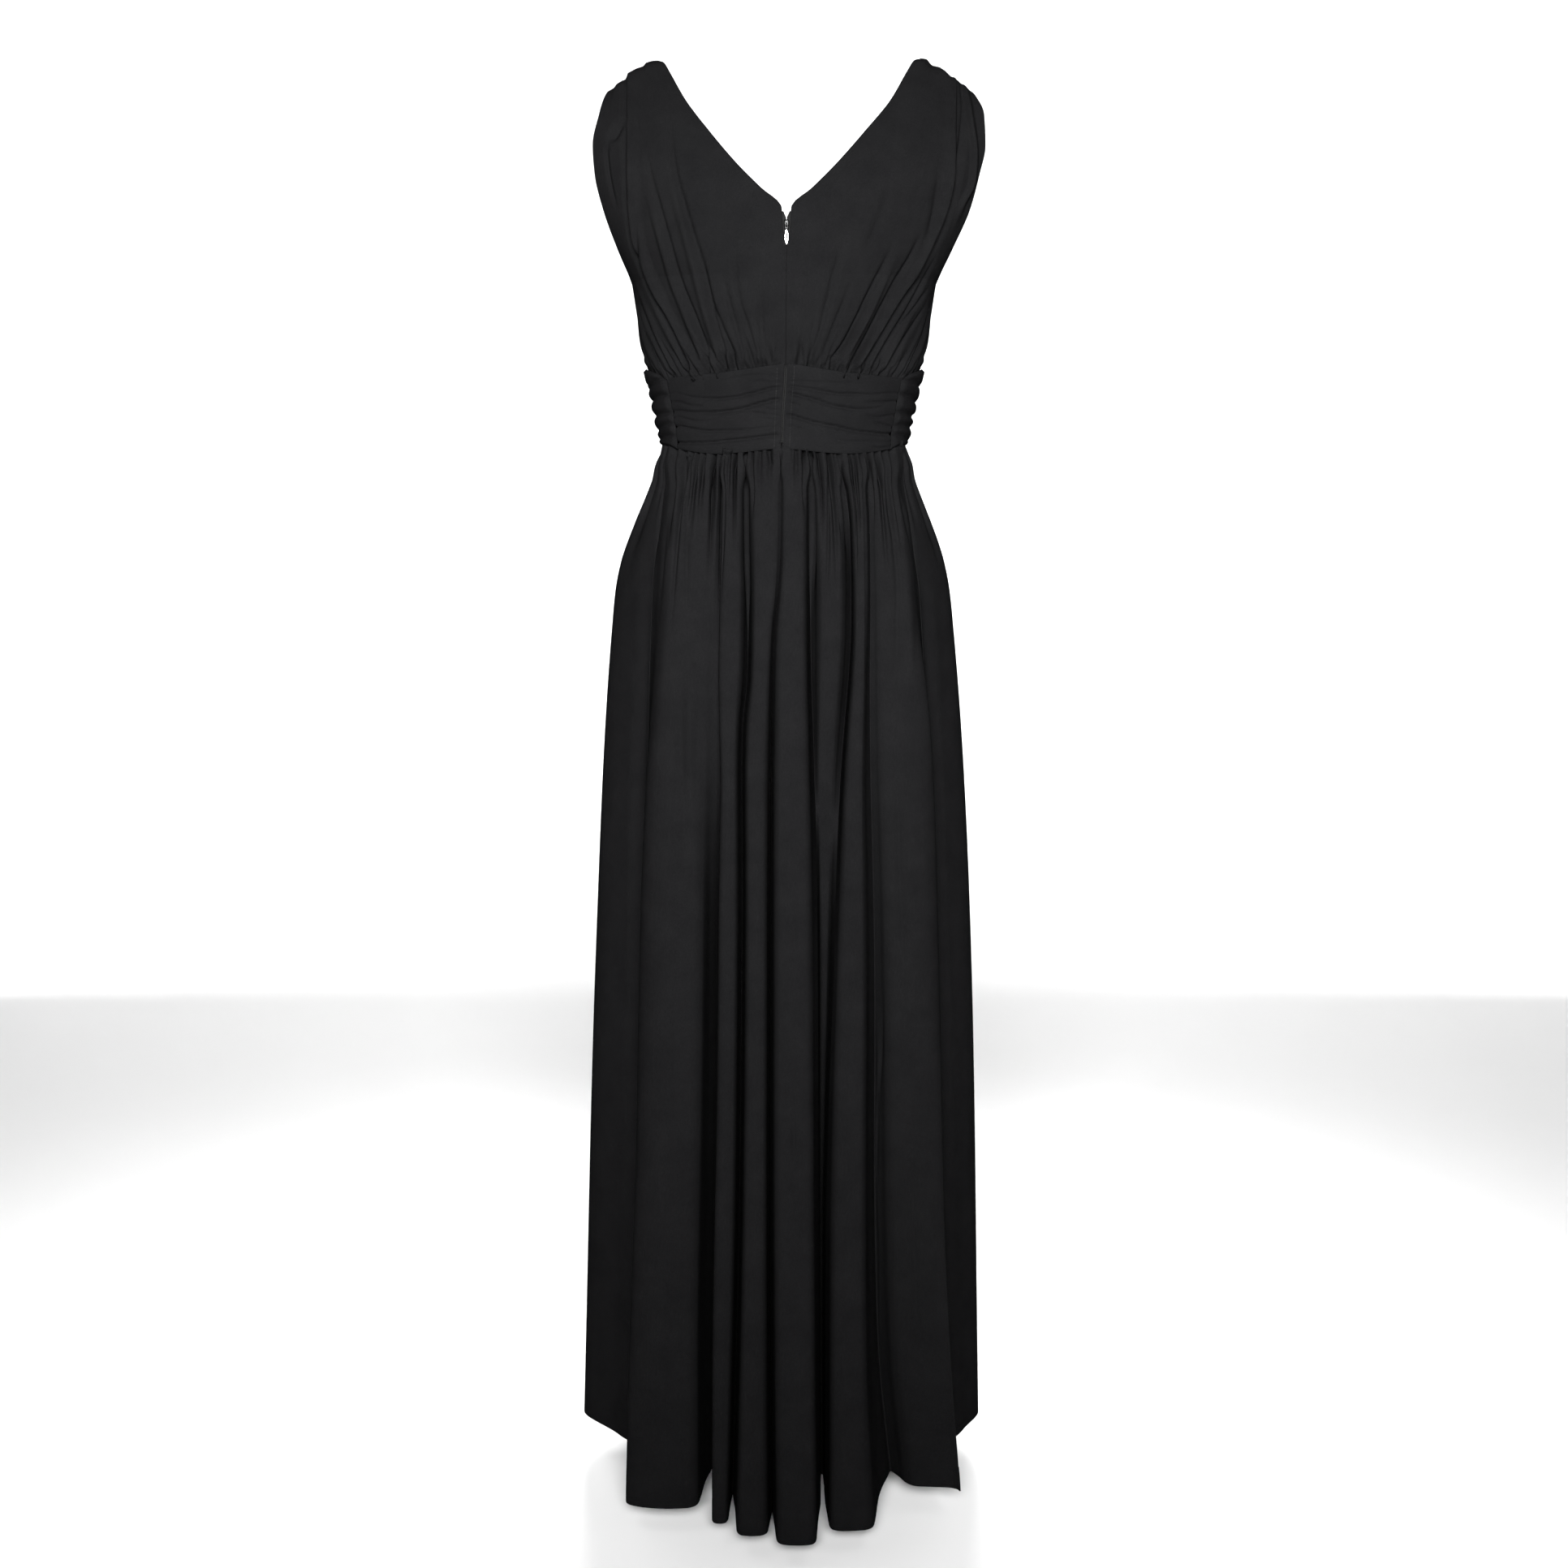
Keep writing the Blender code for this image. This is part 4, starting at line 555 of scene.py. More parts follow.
SKIRT_NAMES, CONTROLS = skirt_controls()
LINE_COUNT = len(SKIRT_NAMES)
SHARP = np.array([name in BACK_HOLLOWS for name in SKIRT_NAMES])
SHARP = np.concatenate([SHARP[-WRAP:], SHARP, SHARP[:WRAP]])
# Below this height the ridge between two hollows is the sharp bottom of one wide hollow
RIDGE_ENDS_Z = -780
RIDGE_CELL = SKIRT_NAMES.index("right_ridge_4") + WRAP


def skirt_section(places, heights):
    """Points of the skirt's level sections at places along the fold lines, and their way out."""
    shape = places.shape
    places, heights = places.ravel(), heights.ravel()
    flat = smooth(STATION_Z, CONTROLS.reshape(len(STATION_Z), -1), heights)
    controls = flat.reshape(len(heights), -1, 2)
    rows = np.arange(len(places))

    def at(place):
        cell = np.clip(np.floor(place).astype(int) + WRAP, 1, controls.shape[1] - 3)
        part = (place + WRAP - cell)[:, None]
        points = [controls[rows, cell + k] for k in (-1, 0, 1, 2)]
        steps = [points[k + 1] - points[k] for k in range(3)]
        first, last = slope_between(steps[0], steps[1]), slope_between(steps[1], steps[2])
        sunk = heights < RIDGE_ENDS_Z
        sharp_first = SHARP[cell] | (sunk & (cell == RIDGE_CELL))
        sharp_last = SHARP[cell + 1] | (sunk & (cell + 1 == RIDGE_CELL))
        first = np.where(sharp_first[:, None], steps[1], first)
        last = np.where(sharp_last[:, None], steps[1], last)
        return (points[1] + steps[1] * part * part * (3 - 2 * part)
                + first * part * (1 - part) ** 2 + last * part * part * (part - 1))

    along = unit(at(places + 0.02) - at(places - 0.02))
    out = np.stack([-along[:, 1], along[:, 0]], 1)
    return at(places).reshape(*shape, 2), out.reshape(*shape, 2)


def skirt_place(x_waist, first, last):
    """The place along the fold lines, between two of them, that lies at this x at the waist."""
    places = np.linspace(first, last, 400)
    xs = smooth(np.arange(-WRAP, LINE_COUNT + WRAP), CONTROLS[0, :, 0], places)
    return float(places[np.argmin(np.abs(xs - x_waist))])


def skirt_gathers():
    """Each gather as its place along the lines, half width, depth and length."""
    left, right = SKIRT_NAMES.index("left_side_seam"), SKIRT_NAMES.index("right_side_seam")
    gathers = []
    for x_waist, depth, length in BACK_GATHERS:
        ends = (0, left) if x_waist > 0 else (right, LINE_COUNT)
        gathers.append((skirt_place(x_waist, *ends), depth, length))
    for index in range(FRONT_GATHER_COUNT):
        share = (index + 0.5 + 0.22 * uneven(index, 1.0)) / FRONT_GATHER_COUNT
        turn = math.radians(SIDE_SEAM_DEGREES + share * (360 - 2 * SIDE_SEAM_DEGREES))
        x_waist = RINGS[0, 1] * math.sin(turn)
        side_left, side_right = SKIRT_NAMES.index("left_side"), SKIRT_NAMES.index("right_side")
        ends = (side_left, side_right)
        if math.cos(turn) > 0:
            ends = (left, side_left) if x_waist > 0 else (side_right, right)
        gathers.append((skirt_place(x_waist, *ends), 4.0 * (1 + 0.3 * uneven(index, 2.0)),
                        130 * (1 + 0.5 * uneven(index, 3.0))))
    gathers.sort()
    spaced = []
    for index, (place, depth, length) in enumerate(gathers):
        before = gathers[index - 1][0] if index else place - 1
        after = gathers[index + 1][0] if index + 1 < len(gathers) else place + 1
        spaced.append((place, 0.5 * min(place - before, after - place, 6.0), depth, length))
    return spaced


SKIRT_GATHERS = skirt_gathers()


def skirt_grid(first, last, columns, rows):
    """The skirt's outside between two fold lines, waist seam first."""
    places, shares = np.meshgrid(np.linspace(first, last, columns),
                                 np.linspace(0, 1, rows) ** 1.5)
    waist, _ = skirt_section(places[:1], np.full((1, columns), WAIST_Z))
    depth = np.where(waist[..., 1] > 0, RINGS[0, 2], RINGS[0, 3])
    turn = np.degrees(np.arctan2(np.abs(waist[..., 0]) / RINGS[0, 1], waist[..., 1] / depth))
    top = seam_height(2, turn) - SEAM_GAP
    hem, _ = skirt_section(places[:1], np.full((1, columns), HEM_Z))
    bottom = HEM_Z + HEM_SIDE_RISE \
        - (HEM_SIDE_RISE + HEM_BACK_DROP) * ease(hem[..., 1] / HEM_BACK_DEPTH)
    z = top + (bottom - top) * shares
    points, out = skirt_section(places, np.maximum(z, HEM_Z))
    drop = top - z
    relief = 3.0 * bump((drop - 16) / 22)
    for place, half, deep, length in SKIRT_GATHERS:
        fade = 1 - ease(drop / length)
        shape = np.clip(1 - np.abs(places - place) / half, 0, 1) ** 1.4
        relief -= deep * GATHER_DEPTH * fade * shape
        flank = place + half
        fine = 1 - ease(drop / (22 + 14 * uneven(place, 1.0)))
        relief -= 1.6 * fine * bump((places - flank) / (half * 0.55))
    near = np.minimum(np.abs(places), np.abs(places - LINE_COUNT))
    relief *= ease(near / 1.5)
    facing = np.clip(out[..., 1], 0, 1) * (points[..., 1] > 60) * ease(near / 1.5)
    relief += SKIRT_CREASE_DEPTH * crease_relief(z, points[..., 0], SKIRT_CREASES) * facing
    flat = points + out * relief[..., None]
    return np.concatenate([flat, z[..., None]], axis=-1)


# Waistband
def back_band_grid(side, columns, rows):
    """One half of the back band from the zip to the side seam, bottom first."""
    across, share = np.meshgrid(np.linspace(BAND_ZIP_EDGE, 0.9985, columns),
                                np.linspace(0.002, 0.998, rows))
    turn = SIDE_SEAM_DEGREES * across
    low, high = seam_height(2, turn), seam_height(1, turn)
    z = low + (high - low) * share
    edge = np.minimum(share, 1 - share) * (high - low)
    start = np.degrees(np.arcsin(zip_seam_x(z) * side / RINGS[2, 1]))
    degrees = start + (SIDE_SEAM_DEGREES - start) * across
    x, _ = ring_point(degrees, z, BAND_PROUD)
    relief = BAND_PUFF + BAND_CREASE_DEPTH * crease_relief(x * side, z, BAND_CREASES[side])
    relief = relief * ease(edge / BAND_EDGE) * ease(across / 0.07)
    x, y = ring_point(degrees, z, BAND_PROUD + relief)
    return np.stack([x * side, y, z], axis=-1)


def front_band_grid(columns, rows):
    """The front band from the right seam to the left seam, bottom first."""
    across, share = np.meshgrid(np.linspace(-0.999, 0.999, columns),
                                np.linspace(0.002, 0.998, rows))
    from_centre = np.abs(across)
    degrees = 180 - from_centre * (180 - SIDE_SEAM_DEGREES)
    low, high = seam_height(2, degrees), seam_height(1, degrees)
    z = low + (high - low) * share
    edge = np.minimum(share, 1 - share) * (high - low)
    relief = np.full_like(z, FRONT_BAND_PUFF)
    for index, (centre, middle, side, depth) in enumerate(FRONT_RUCHES):
        wave = 1.6 * np.sin(across * 7 + index * 2.1)
        line = smooth((0, 0.5, 1), (centre, middle, side), from_centre) + wave
        relief -= depth * FRONT_RUCHE_DEPTH * np.clip(1 - np.abs(z - line) / 6.0, 0, 1) ** 1.5
    for index in range(9):
        line = -311 - 8.2 * index + 2.5 * np.sin(across * 5 + index * 1.7) + 2.0 * uneven(index, 3)
        reach = bump((across - 0.75 * uneven(index, 1.0)) / (0.45 + 0.2 * uneven(index, 5.0)))
        relief -= 1.4 * reach * np.clip(1 - np.abs(z - line) / 3.0, 0, 1) ** 1.5
    relief = relief * ease(edge / BAND_EDGE) * ease((1 - from_centre) / 0.03)
    x, y = ring_point(degrees, z, BAND_PROUD + relief)
    return np.stack([np.where(across < 0, -x, x), y, z], axis=-1)


# Bodice
def bodice_base(front, side, across, share):
    """The bodice without folds: across from the inner edge (0) to the outer (1)."""
    inner_rows = FRONT_INNER if front else BACK_INNER
    inner_x = smooth(inner_rows[:, 0], inner_rows[:, 1 if side > 0 else 2], share)
    inner_y, inner_z = (smooth(inner_rows[:, 0], inner_rows[:, k], share) for k in (3, 4))
    seam = [smooth(SIDE_SEAM[:, 0], SIDE_SEAM[:, k], share) for k in (1, 2, 3)]
    arm_columns = (1 if side > 0 else 2, 4 if front else 3, 5)
    arm = [smooth(ARMHOLES[:, 0], ARMHOLES[:, k], share) for k in arm_columns]
    outer = [np.where(share <= UNDERARM, low, high) for low, high in zip(seam, arm)]
    turn = np.radians(smooth(TURNS[:, 0], TURNS[:, 2 if front else 1], share))
    lean = GATHER_LEAN * np.sin(np.pi * across) * (1 - 0.4 * across) * ease(share / 0.6)
    across = across + lean
    wide = np.sin(across * turn) / np.sin(turn)
    deep = (np.cos(across * turn) - np.cos(turn)) / (1 - np.cos(turn))
    x = inner_x + (outer[0] * side - inner_x) * wide
    y = outer[1] + (inner_y - outer[1]) * deep
    sloped = ease((share - 0.8) / 0.2)
    fall = ease(across) * (1 - sloped) + np.clip(across, 0, 2) ** SHOULDER_CURVE * sloped
    z = inner_z + (outer[2] - inner_z) * fall
    waist_turn = TURNS[0, 2] if front else TURNS[0, 1]
    degrees = 180 - across * waist_turn if front else across * waist_turn
    waist_z = inner_rows[0, 4] + (SIDE_SEAM[0, 3] - inner_rows[0, 4]) * ease(across)
    follow = (seam_height(1, degrees) + SEAM_GAP - waist_z) * (1 - ease(share / SEAM_FOLLOW))
    z += np.where(share < SEAM_FOLLOW, follow, 0)
    return np.stack([x, y, z], axis=-1)


def bodice_grid(front, side, columns, shares):
    """One half of the bodice with its folds, waist seam first."""
    across, share = np.meshgrid(np.linspace(0, 1, columns), shares)
    base = bodice_base(front, side, across, share)
    out = normals_of(base)
    middle = out[len(shares) // 3, columns // 2, 1]
    if (middle > 0) == front:
        out = -out
    ends = np.pad(out, ((NORMAL_REACH, NORMAL_REACH), (0, 0), (0, 0)), mode="edge")
    out = unit(sum(ends[k:k + len(out)] for k in range(2 * NORMAL_REACH + 1)))
    sewn = ease((share - SHOULDER_SEWN) / (1 - SHOULDER_SEWN))
    out[..., 1] *= 1 - sewn
    out = unit(out)
    relief = np.zeros_like(share)
    if front:
        for place, height, half, start, end in FRONT_LONG_FOLDS:
            ends = ease((share - start) / 0.10 + 0.5) * ease((end - share) / 0.15)
            relief += height * ends * bump((across - place) / half)
    else:
        creases = BODICE_CREASES_LEFT if side > 0 else BODICE_CREASES_RIGHT
        relief += BODICE_CREASE_DEPTH * crease_relief(base[..., 2], base[..., 0], creases)
    seed = 4.0 if front else (7.0 if side > 0 else 9.0)
    for index in range(RIDGE_COUNT):
        centre = (index + 0.5 + 0.22 * uneven(index, seed + 3)) / RIDGE_COUNT
        rise = 0.34 * (1 + 0.55 * uneven(index, seed + 4))
        ridge = bump((across - centre) * RIDGE_COUNT / 0.52)
        relief += RIDGE_HEIGHT * ease(share / 0.04) * (1 - ease(share / rise)) * ridge
    count = 16
    for index in range(count):
        centre = (index + 0.6 + 0.15 * uneven(index, seed)) / count * 0.97
        rise = 0.15 * (1 + 0.6 * uneven(index, seed + 1))
        depth = 2.6 * (1 + 0.35 * uneven(index, seed + 2))
        slit = np.clip(1 - np.abs(across - centre) * count / 0.42, 0, 1) ** 1.6
        relief -= 2.0 * depth * (1 - ease(share / rise)) * slit
        small = centre + 0.5 / count
        relief -= 2.2 * (1 - ease(share / 0.05)) * bump((across - small) * count / 0.25)
    at_side = ease((1 - across) / 0.03)
    at_side += (1 - at_side) * ease((share - UNDERARM) / 0.10)
    at_centre = ease(across / 0.03) if front else ease((across - 0.012) / 0.075)
    relief = relief * at_centre * at_side * (1 - 0.8 * sewn)
    lift = smooth(SHOULDER_STEPS[:, 0], SHOULDER_STEPS[:, 1 if side > 0 else 2], across)
    base[..., 2] += lift * ease((share - 0.86) / 0.14)
    return base + out * relief[..., None]


# Materials
def nodes_of(name):
    """A new material with its shader and tree."""
    made = bpy.data.materials.new(name)
    made.use_nodes = True
    return made, made.node_tree, made.node_tree.nodes["Principled BSDF"]


def add_node(tree, kind, links=(), **values):
    """A node with its values set and its inputs linked."""
    node = tree.nodes.new(kind)
    for key, value in values.items():
        if key in node.inputs.keys():
            node.inputs[key].default_value = value
        else:
            setattr(node, key, value)
    for socket, source in links:
        tree.links.new(source, node.inputs[socket])
    return node


def jersey_material():
    """Fine black jersey: columns of knit loops and slight mottling."""
    made, tree, shader = nodes_of("black_jersey")
    coords = add_node(tree, "ShaderNodeTexCoord")
    split = add_node(tree, "ShaderNodeSeparateXYZ", [("Vector", coords.outputs["UV"])])
    across, down = split.outputs["X"], split.outputs["Y"]
    wale = add_node(tree, "ShaderNodeMath", [(0, across)], operation="MULTIPLY")
    wale.inputs[1].default_value = 1 / 0.55
    wale_part = add_node(tree, "ShaderNodeMath", [(0, wale.outputs[0])], operation="FRACT")
    centred = add_node(tree, "ShaderNodeMath", [(0, wale_part.outputs[0])], operation="SUBTRACT")
    centred.inputs[1].default_value = 0.5
    arm = add_node(tree, "ShaderNodeMath", [(0, centred.outputs[0])], operation="ABSOLUTE")
    course = add_node(tree, "ShaderNodeMath", [(0, down)], operation="MULTIPLY")
    course.inputs[1].default_value = 1 / 0.42
    slanted = add_node(tree, "ShaderNodeMath", [(0, course.outputs[0]), (1, arm.outputs[0])],
                       operation="ADD")
    turn = add_node(tree, "ShaderNodeMath", [(0, slanted.outputs[0])], operation="MULTIPLY")
    turn.inputs[1].default_value = 2 * math.pi
    yarn = add_node(tree, "ShaderNodeMath", [(0, turn.outputs[0])], operation="SINE")
    rib = add_node(tree, "ShaderNodeMath", [(0, arm.outputs[0])], operation="MULTIPLY")
    rib.inputs[1].default_value = -3.0
    height = add_node(tree, "ShaderNodeMath", [(0, yarn.outputs[0]), (1, rib.outputs[0])],
                      operation="ADD")
    grain = add_node(tree, "ShaderNodeTexNoise", [("Vector", coords.outputs["Object"])],
                     Scale=900.0, Detail=3.0, Roughness=0.6)
    mottle = add_node(tree, "ShaderNodeTexNoise", [("Vector", coords.outputs["Object"])],
                      Scale=38.0, Detail=4.0, Roughness=0.55)
    fuzz = add_node(tree, "ShaderNodeBump", [("Height", grain.outputs["Fac"])],
                    Strength=0.25, Distance=0.0004)
    knit = add_node(tree, "ShaderNodeBump",
                    [("Height", height.outputs[0]), ("Normal", fuzz.outputs["Normal"])],
                    Strength=0.22, Distance=0.00012)
    tree.links.new(knit.outputs["Normal"], shader.inputs["Normal"])
    tone = add_node(tree, "ShaderNodeValToRGB", [("Fac", mottle.outputs["Fac"])])
    tone.color_ramp.elements[0].position = 0.3
    tone.color_ramp.elements[0].color = (0.0037, 0.0037, 0.0039, 1)
    tone.color_ramp.elements[1].position = 0.7
    tone.color_ramp.elements[1].color = (0.0045, 0.0045, 0.0047, 1)
    speck = add_node(tree, "ShaderNodeMapRange", [("Value", grain.outputs["Fac"])])
    speck.inputs["From Min"].default_value = 0.25
    speck.inputs["From Max"].default_value = 0.75
    speck.inputs["To Min"].default_value = 0.75
    speck.inputs["To Max"].default_value = 1.25
    mixed = add_node(tree, "ShaderNodeVectorMath",
                     [(0, tone.outputs["Color"]), (1, speck.outputs["Result"])],
                     operation="MULTIPLY")
    tree.links.new(mixed.outputs["Vector"], shader.inputs["Base Color"])
    gloss = add_node(tree, "ShaderNodeMapRange", [("Value", mottle.outputs["Fac"])])
    gloss.inputs["To Min"].default_value = 0.50
    gloss.inputs["To Max"].default_value = 0.62
    tree.links.new(gloss.outputs["Result"], shader.inputs["Roughness"])
    shader.inputs["Specular IOR Level"].default_value = 0.0
    return made


def tape_material():
    """Woven zip tape: fine diagonal ribs along the tape."""
    made, tree, shader = nodes_of("black_zip_tape")
    coords = add_node(tree, "ShaderNodeTexCoord")
    weave = add_node(tree, "ShaderNodeTexWave", [("Vector", coords.outputs["UV"])],
                     Scale=0.35, Distortion=0.6)
    weave.bands_direction = "DIAGONAL"
    lift = add_node(tree, "ShaderNodeBump", [("Height", weave.outputs["Fac"])],
                    Strength=0.5, Distance=0.0002)
    tree.links.new(lift.outputs["Normal"], shader.inputs["Normal"])
    tone = add_node(tree, "ShaderNodeValToRGB", [("Fac", weave.outputs["Fac"])])
    tone.color_ramp.elements[0].color = (0.0035, 0.0035, 0.0035, 1)
    tone.color_ramp.elements[1].color = (0.008, 0.008, 0.008, 1)
    tree.links.new(tone.outputs["Color"], shader.inputs["Base Color"])
    shader.inputs["Roughness"].default_value = 0.8
    shader.inputs["Specular IOR Level"].default_value = 0.05
    return made


def nylon_material():
    """Dark, slightly glossy nylon for the coil and the sewing thread."""
    made, tree, shader = nodes_of("dark_nylon")
    coords = add_node(tree, "ShaderNodeTexCoord")
    grain = add_node(tree, "ShaderNodeTexNoise", [("Vector", coords.outputs["Object"])],
                     Scale=1500.0, Detail=2.0)
    tone = add_node(tree, "ShaderNodeValToRGB", [("Fac", grain.outputs["Fac"])])
    tone.color_ramp.elements[0].color = (0.004, 0.004, 0.004, 1)
    tone.color_ramp.elements[1].color = (0.010, 0.010, 0.010, 1)
    tree.links.new(tone.outputs["Color"], shader.inputs["Base Color"])
    shader.inputs["Roughness"].default_value = 0.55
    shader.inputs["Specular IOR Level"].default_value = 0.12
    return made


def metal_material(name, dark, light, smooth_end, rough_end):
    """Zip metal with fine wear, between two tones and two roughnesses."""
    made, tree, shader = nodes_of(name)
    coords = add_node(tree, "ShaderNodeTexCoord")
    wear = add_node(tree, "ShaderNodeTexNoise", [("Vector", coords.outputs["Object"])],
                    Scale=700.0, Detail=5.0, Roughness=0.65)
    tone = add_node(tree, "ShaderNodeValToRGB", [("Fac", wear.outputs["Fac"])])
    tone.color_ramp.elements[0].position = 0.35
    tone.color_ramp.elements[0].color = (*dark, 1)
    tone.color_ramp.elements[1].position = 0.7
    tone.color_ramp.elements[1].color = (*light, 1)
    tree.links.new(tone.outputs["Color"], shader.inputs["Base Color"])
    rough = add_node(tree, "ShaderNodeMapRange", [("Value", wear.outputs["Fac"])])
    rough.inputs["To Min"].default_value = smooth_end
    rough.inputs["To Max"].default_value = rough_end
    tree.links.new(rough.outputs["Result"], shader.inputs["Roughness"])
    lift = add_node(tree, "ShaderNodeBump", [("Height", wear.outputs["Fac"])],
                    Strength=0.15, Distance=0.00005)
    tree.links.new(lift.outputs["Normal"], shader.inputs["Normal"])
    shader.inputs["Metallic"].default_value = 1.0
    return made


def studio_material(name, colour):
    """A plain pale studio surface."""
    made, tree, shader = nodes_of(name)
    coords = add_node(tree, "ShaderNodeTexCoord")
    grain = add_node(tree, "ShaderNodeTexNoise", [("Vector", coords.outputs["Object"])], Scale=4.0)
    tone = add_node(tree, "ShaderNodeValToRGB", [("Fac", grain.outputs["Fac"])])
    tone.color_ramp.elements[0].color = (*[part * 0.985 for part in colour], 1)
    tone.color_ramp.elements[1].color = (*colour, 1)
    tree.links.new(tone.outputs["Color"], shader.inputs["Base Color"])
    shader.inputs["Roughness"].default_value = 0.9
    shader.inputs["Specular IOR Level"].default_value = 0.1
    return made


JERSEY = jersey_material()
TAPE = tape_material()
NYLON = nylon_material()
METAL = metal_material("polished_zip_metal", (0.36, 0.355, 0.35), (0.62, 0.61, 0.60), 0.12, 0.30)
LACQUER = metal_material("black_lacquered_metal", (0.006, 0.006, 0.006), (0.02, 0.02, 0.02),
                         0.22, 0.45)


# Meshes
def mesh_object(name, vertices, faces, surface, uvs=None):
    """A smooth shaded mesh object from points in millimetres."""
    data = bpy.data.meshes.new(name)
    data.from_pydata((np.asarray(vertices) * MM).tolist(), [], faces)
    data.materials.append(surface)
    if uvs is not None:
        layer = data.uv_layers.new(name="cloth")
        corners = np.zeros(len(data.loops), int)
        data.loops.foreach_get("vertex_index", corners)
        layer.data.foreach_set("uv", np.asarray(uvs)[corners].ravel())
    data.shade_smooth()
    data.update()
    made = bpy.data.objects.new(name, data)
    bpy.context.scene.collection.objects.link(made)
    return made


def arc_lengths(grid):
    """Distances along a grid's rows and columns, in millimetres."""
    across = np.linalg.norm(np.diff(grid, axis=1), axis=-1)
    down = np.linalg.norm(np.diff(grid, axis=0), axis=-1)
    u = np.concatenate([np.zeros((len(grid), 1)), np.cumsum(across, axis=1)], axis=1)
    v = np.concatenate([np.zeros((1, grid.shape[1])), np.cumsum(down, axis=0)], axis=0)
    return np.stack([u - u.mean(axis=1, keepdims=True), v], axis=-1)


def quads(index, flip):
    """Faces over a grid of vertex numbers."""
    a, b, c, d = index[:-1, :-1], index[:-1, 1:], index[1:, 1:], index[1:, :-1]
    order = (a, d, c, b) if flip else (a, b, c, d)
    return np.stack(order, axis=-1).reshape(-1, 4)


class Cloth:
    """A cloth sheet gathered from joined grids, with its edges turned under."""

    def __init__(self):
        self.points, self.uvs, self.faces, self.count = [], [], [], 0

    def add_points(self, grid, uvs):
        """Adds a grid of points and gives their numbers."""
        index = np.arange(self.count, self.count + grid.shape[0] * grid.shape[1])
        self.points.append(grid.reshape(-1, 3))
        self.uvs.append(uvs.reshape(-1, 2))
        self.count += len(index)
        return index.reshape(grid.shape[:2])

    def add_grid(self, grid, out):
        """Adds a sheet whose face points along out."""
        uvs = arc_lengths(grid)
        index = self.add_points(grid, uvs)
        facing = np.cross(grid[:-1, 1:] - grid[:-1, :-1], grid[1:, :-1] - grid[:-1, :-1])
        flip = (facing * out[:-1, :-1]).sum() < 0
        self.faces.append(quads(index, flip))
        return index, uvs, flip

    def turn_under(self, sheet, grid, out, edge, depth, span=None, radius=0.9):
        """Carries an edge round and back under the sheet for this many of its rows or columns."""
        index, uvs, flip = sheet
        sides = {"first_row": (0, 1), "last_row": (0, -1),
                 "first_column": (1, 1), "last_column": (1, -1)}
        axis, way = sides[edge]
        if axis == 1:
            grid, out, index, uvs = (item.swapaxes(0, 1) for item in (grid, out, index, uvs))
            flip = not flip
        if way == -1:
            grid, out, index, uvs = grid[::-1], out[::-1], index[::-1], uvs[::-1]
            flip = not flip
        if span is not None:
            grid, out, index, uvs = (item[:, span] for item in (grid, out, index, uvs))
        beyond = unit(grid[0] - grid[1])
        rows, marks = [], []
        for k in (1, 2, 3):
            angle = k * math.pi / 3
            reach = radius * math.sin(angle)
            rows.append(grid[0] + beyond * reach - out[0] * radius * (1 - math.cos(angle)))
            marks.append(uvs[0] - [0, k * radius])
        for k in range(1, depth + 1):
            rows.append(grid[k] - out[k] * 2 * radius)
            marks.append(uvs[k] + [0, 3.0])
        new = self.add_points(np.array(rows), np.array(marks))
        joined = np.concatenate([index[:1], new], axis=0)[::-1]
        self.faces.append(quads(joined, flip))

    def finish(self, name, surface, thickness=WALL):
        """The cloth as a named object with its wall."""
        faces = np.concatenate(self.faces).tolist()
        made = mesh_object(name, np.concatenate(self.points), faces, surface,
                           np.concatenate(self.uvs))
        wall = made.modifiers.new("cloth wall", "SOLIDIFY")
        wall.thickness = thickness * MM
        wall.offset = -1
        return made


def dress_piece(piece, node):
    """A cloth piece that stands for its CAD node."""
    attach(piece, "dress")
    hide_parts(node)
    return piece


def outward(grid):
    """Directions out of a grid, away from the dress's middle line."""
    out = normals_of(grid)
    if (out[..., :2] * grid[..., :2]).sum() < 0:
        out = -out
    return out


# A tucked seam edge: how far each row passes the edge, and how deep it lies
TUCK_STEPS = ((1.2, 0.7), (3.0, 1.5), (6.0, 1.9))
TUCK_ROWS = len(TUCK_STEPS)


def tuck(grid, out, first):
    """Rows that carry a seamed edge up or down behind its neighbour."""
    edge, inside, way = (grid[0], grid[1], out[0]) if first else (grid[-1], grid[-2], out[-1])
    beyond = unit(edge - inside)
    rows = [edge + beyond * reach - way * depth for reach, depth in TUCK_STEPS]
    rows = np.array(rows[::-1] if first else rows)
    return np.concatenate([rows, grid] if first else [grid, rows])


def lip(grid, out, columns=(True, True), depth=1.0, under=(0, 0)):
    """Columns that sink a seamed side edge, and pass this far behind the next piece."""
    parts = [grid]
    for side, (edge, inside, reach) in enumerate(((0, 1, under[0]), (-1, -2, under[1]))):
        if not columns[side]:
            continue
        sunk = grid[:, edge] - out[:, edge] * depth
        added = [sunk]
        if reach:
            beyond = unit(grid[:, edge] - grid[:, inside])
            added.append(sunk + beyond * reach * 0.3 - out[:, edge] * 1.4)
            added.append(sunk + beyond * reach - out[:, edge] * 1.8)
        added = np.stack(added if side else added[::-1], axis=1)
        parts = parts + [added] if side else [added] + parts
    return np.concatenate(parts, axis=1)


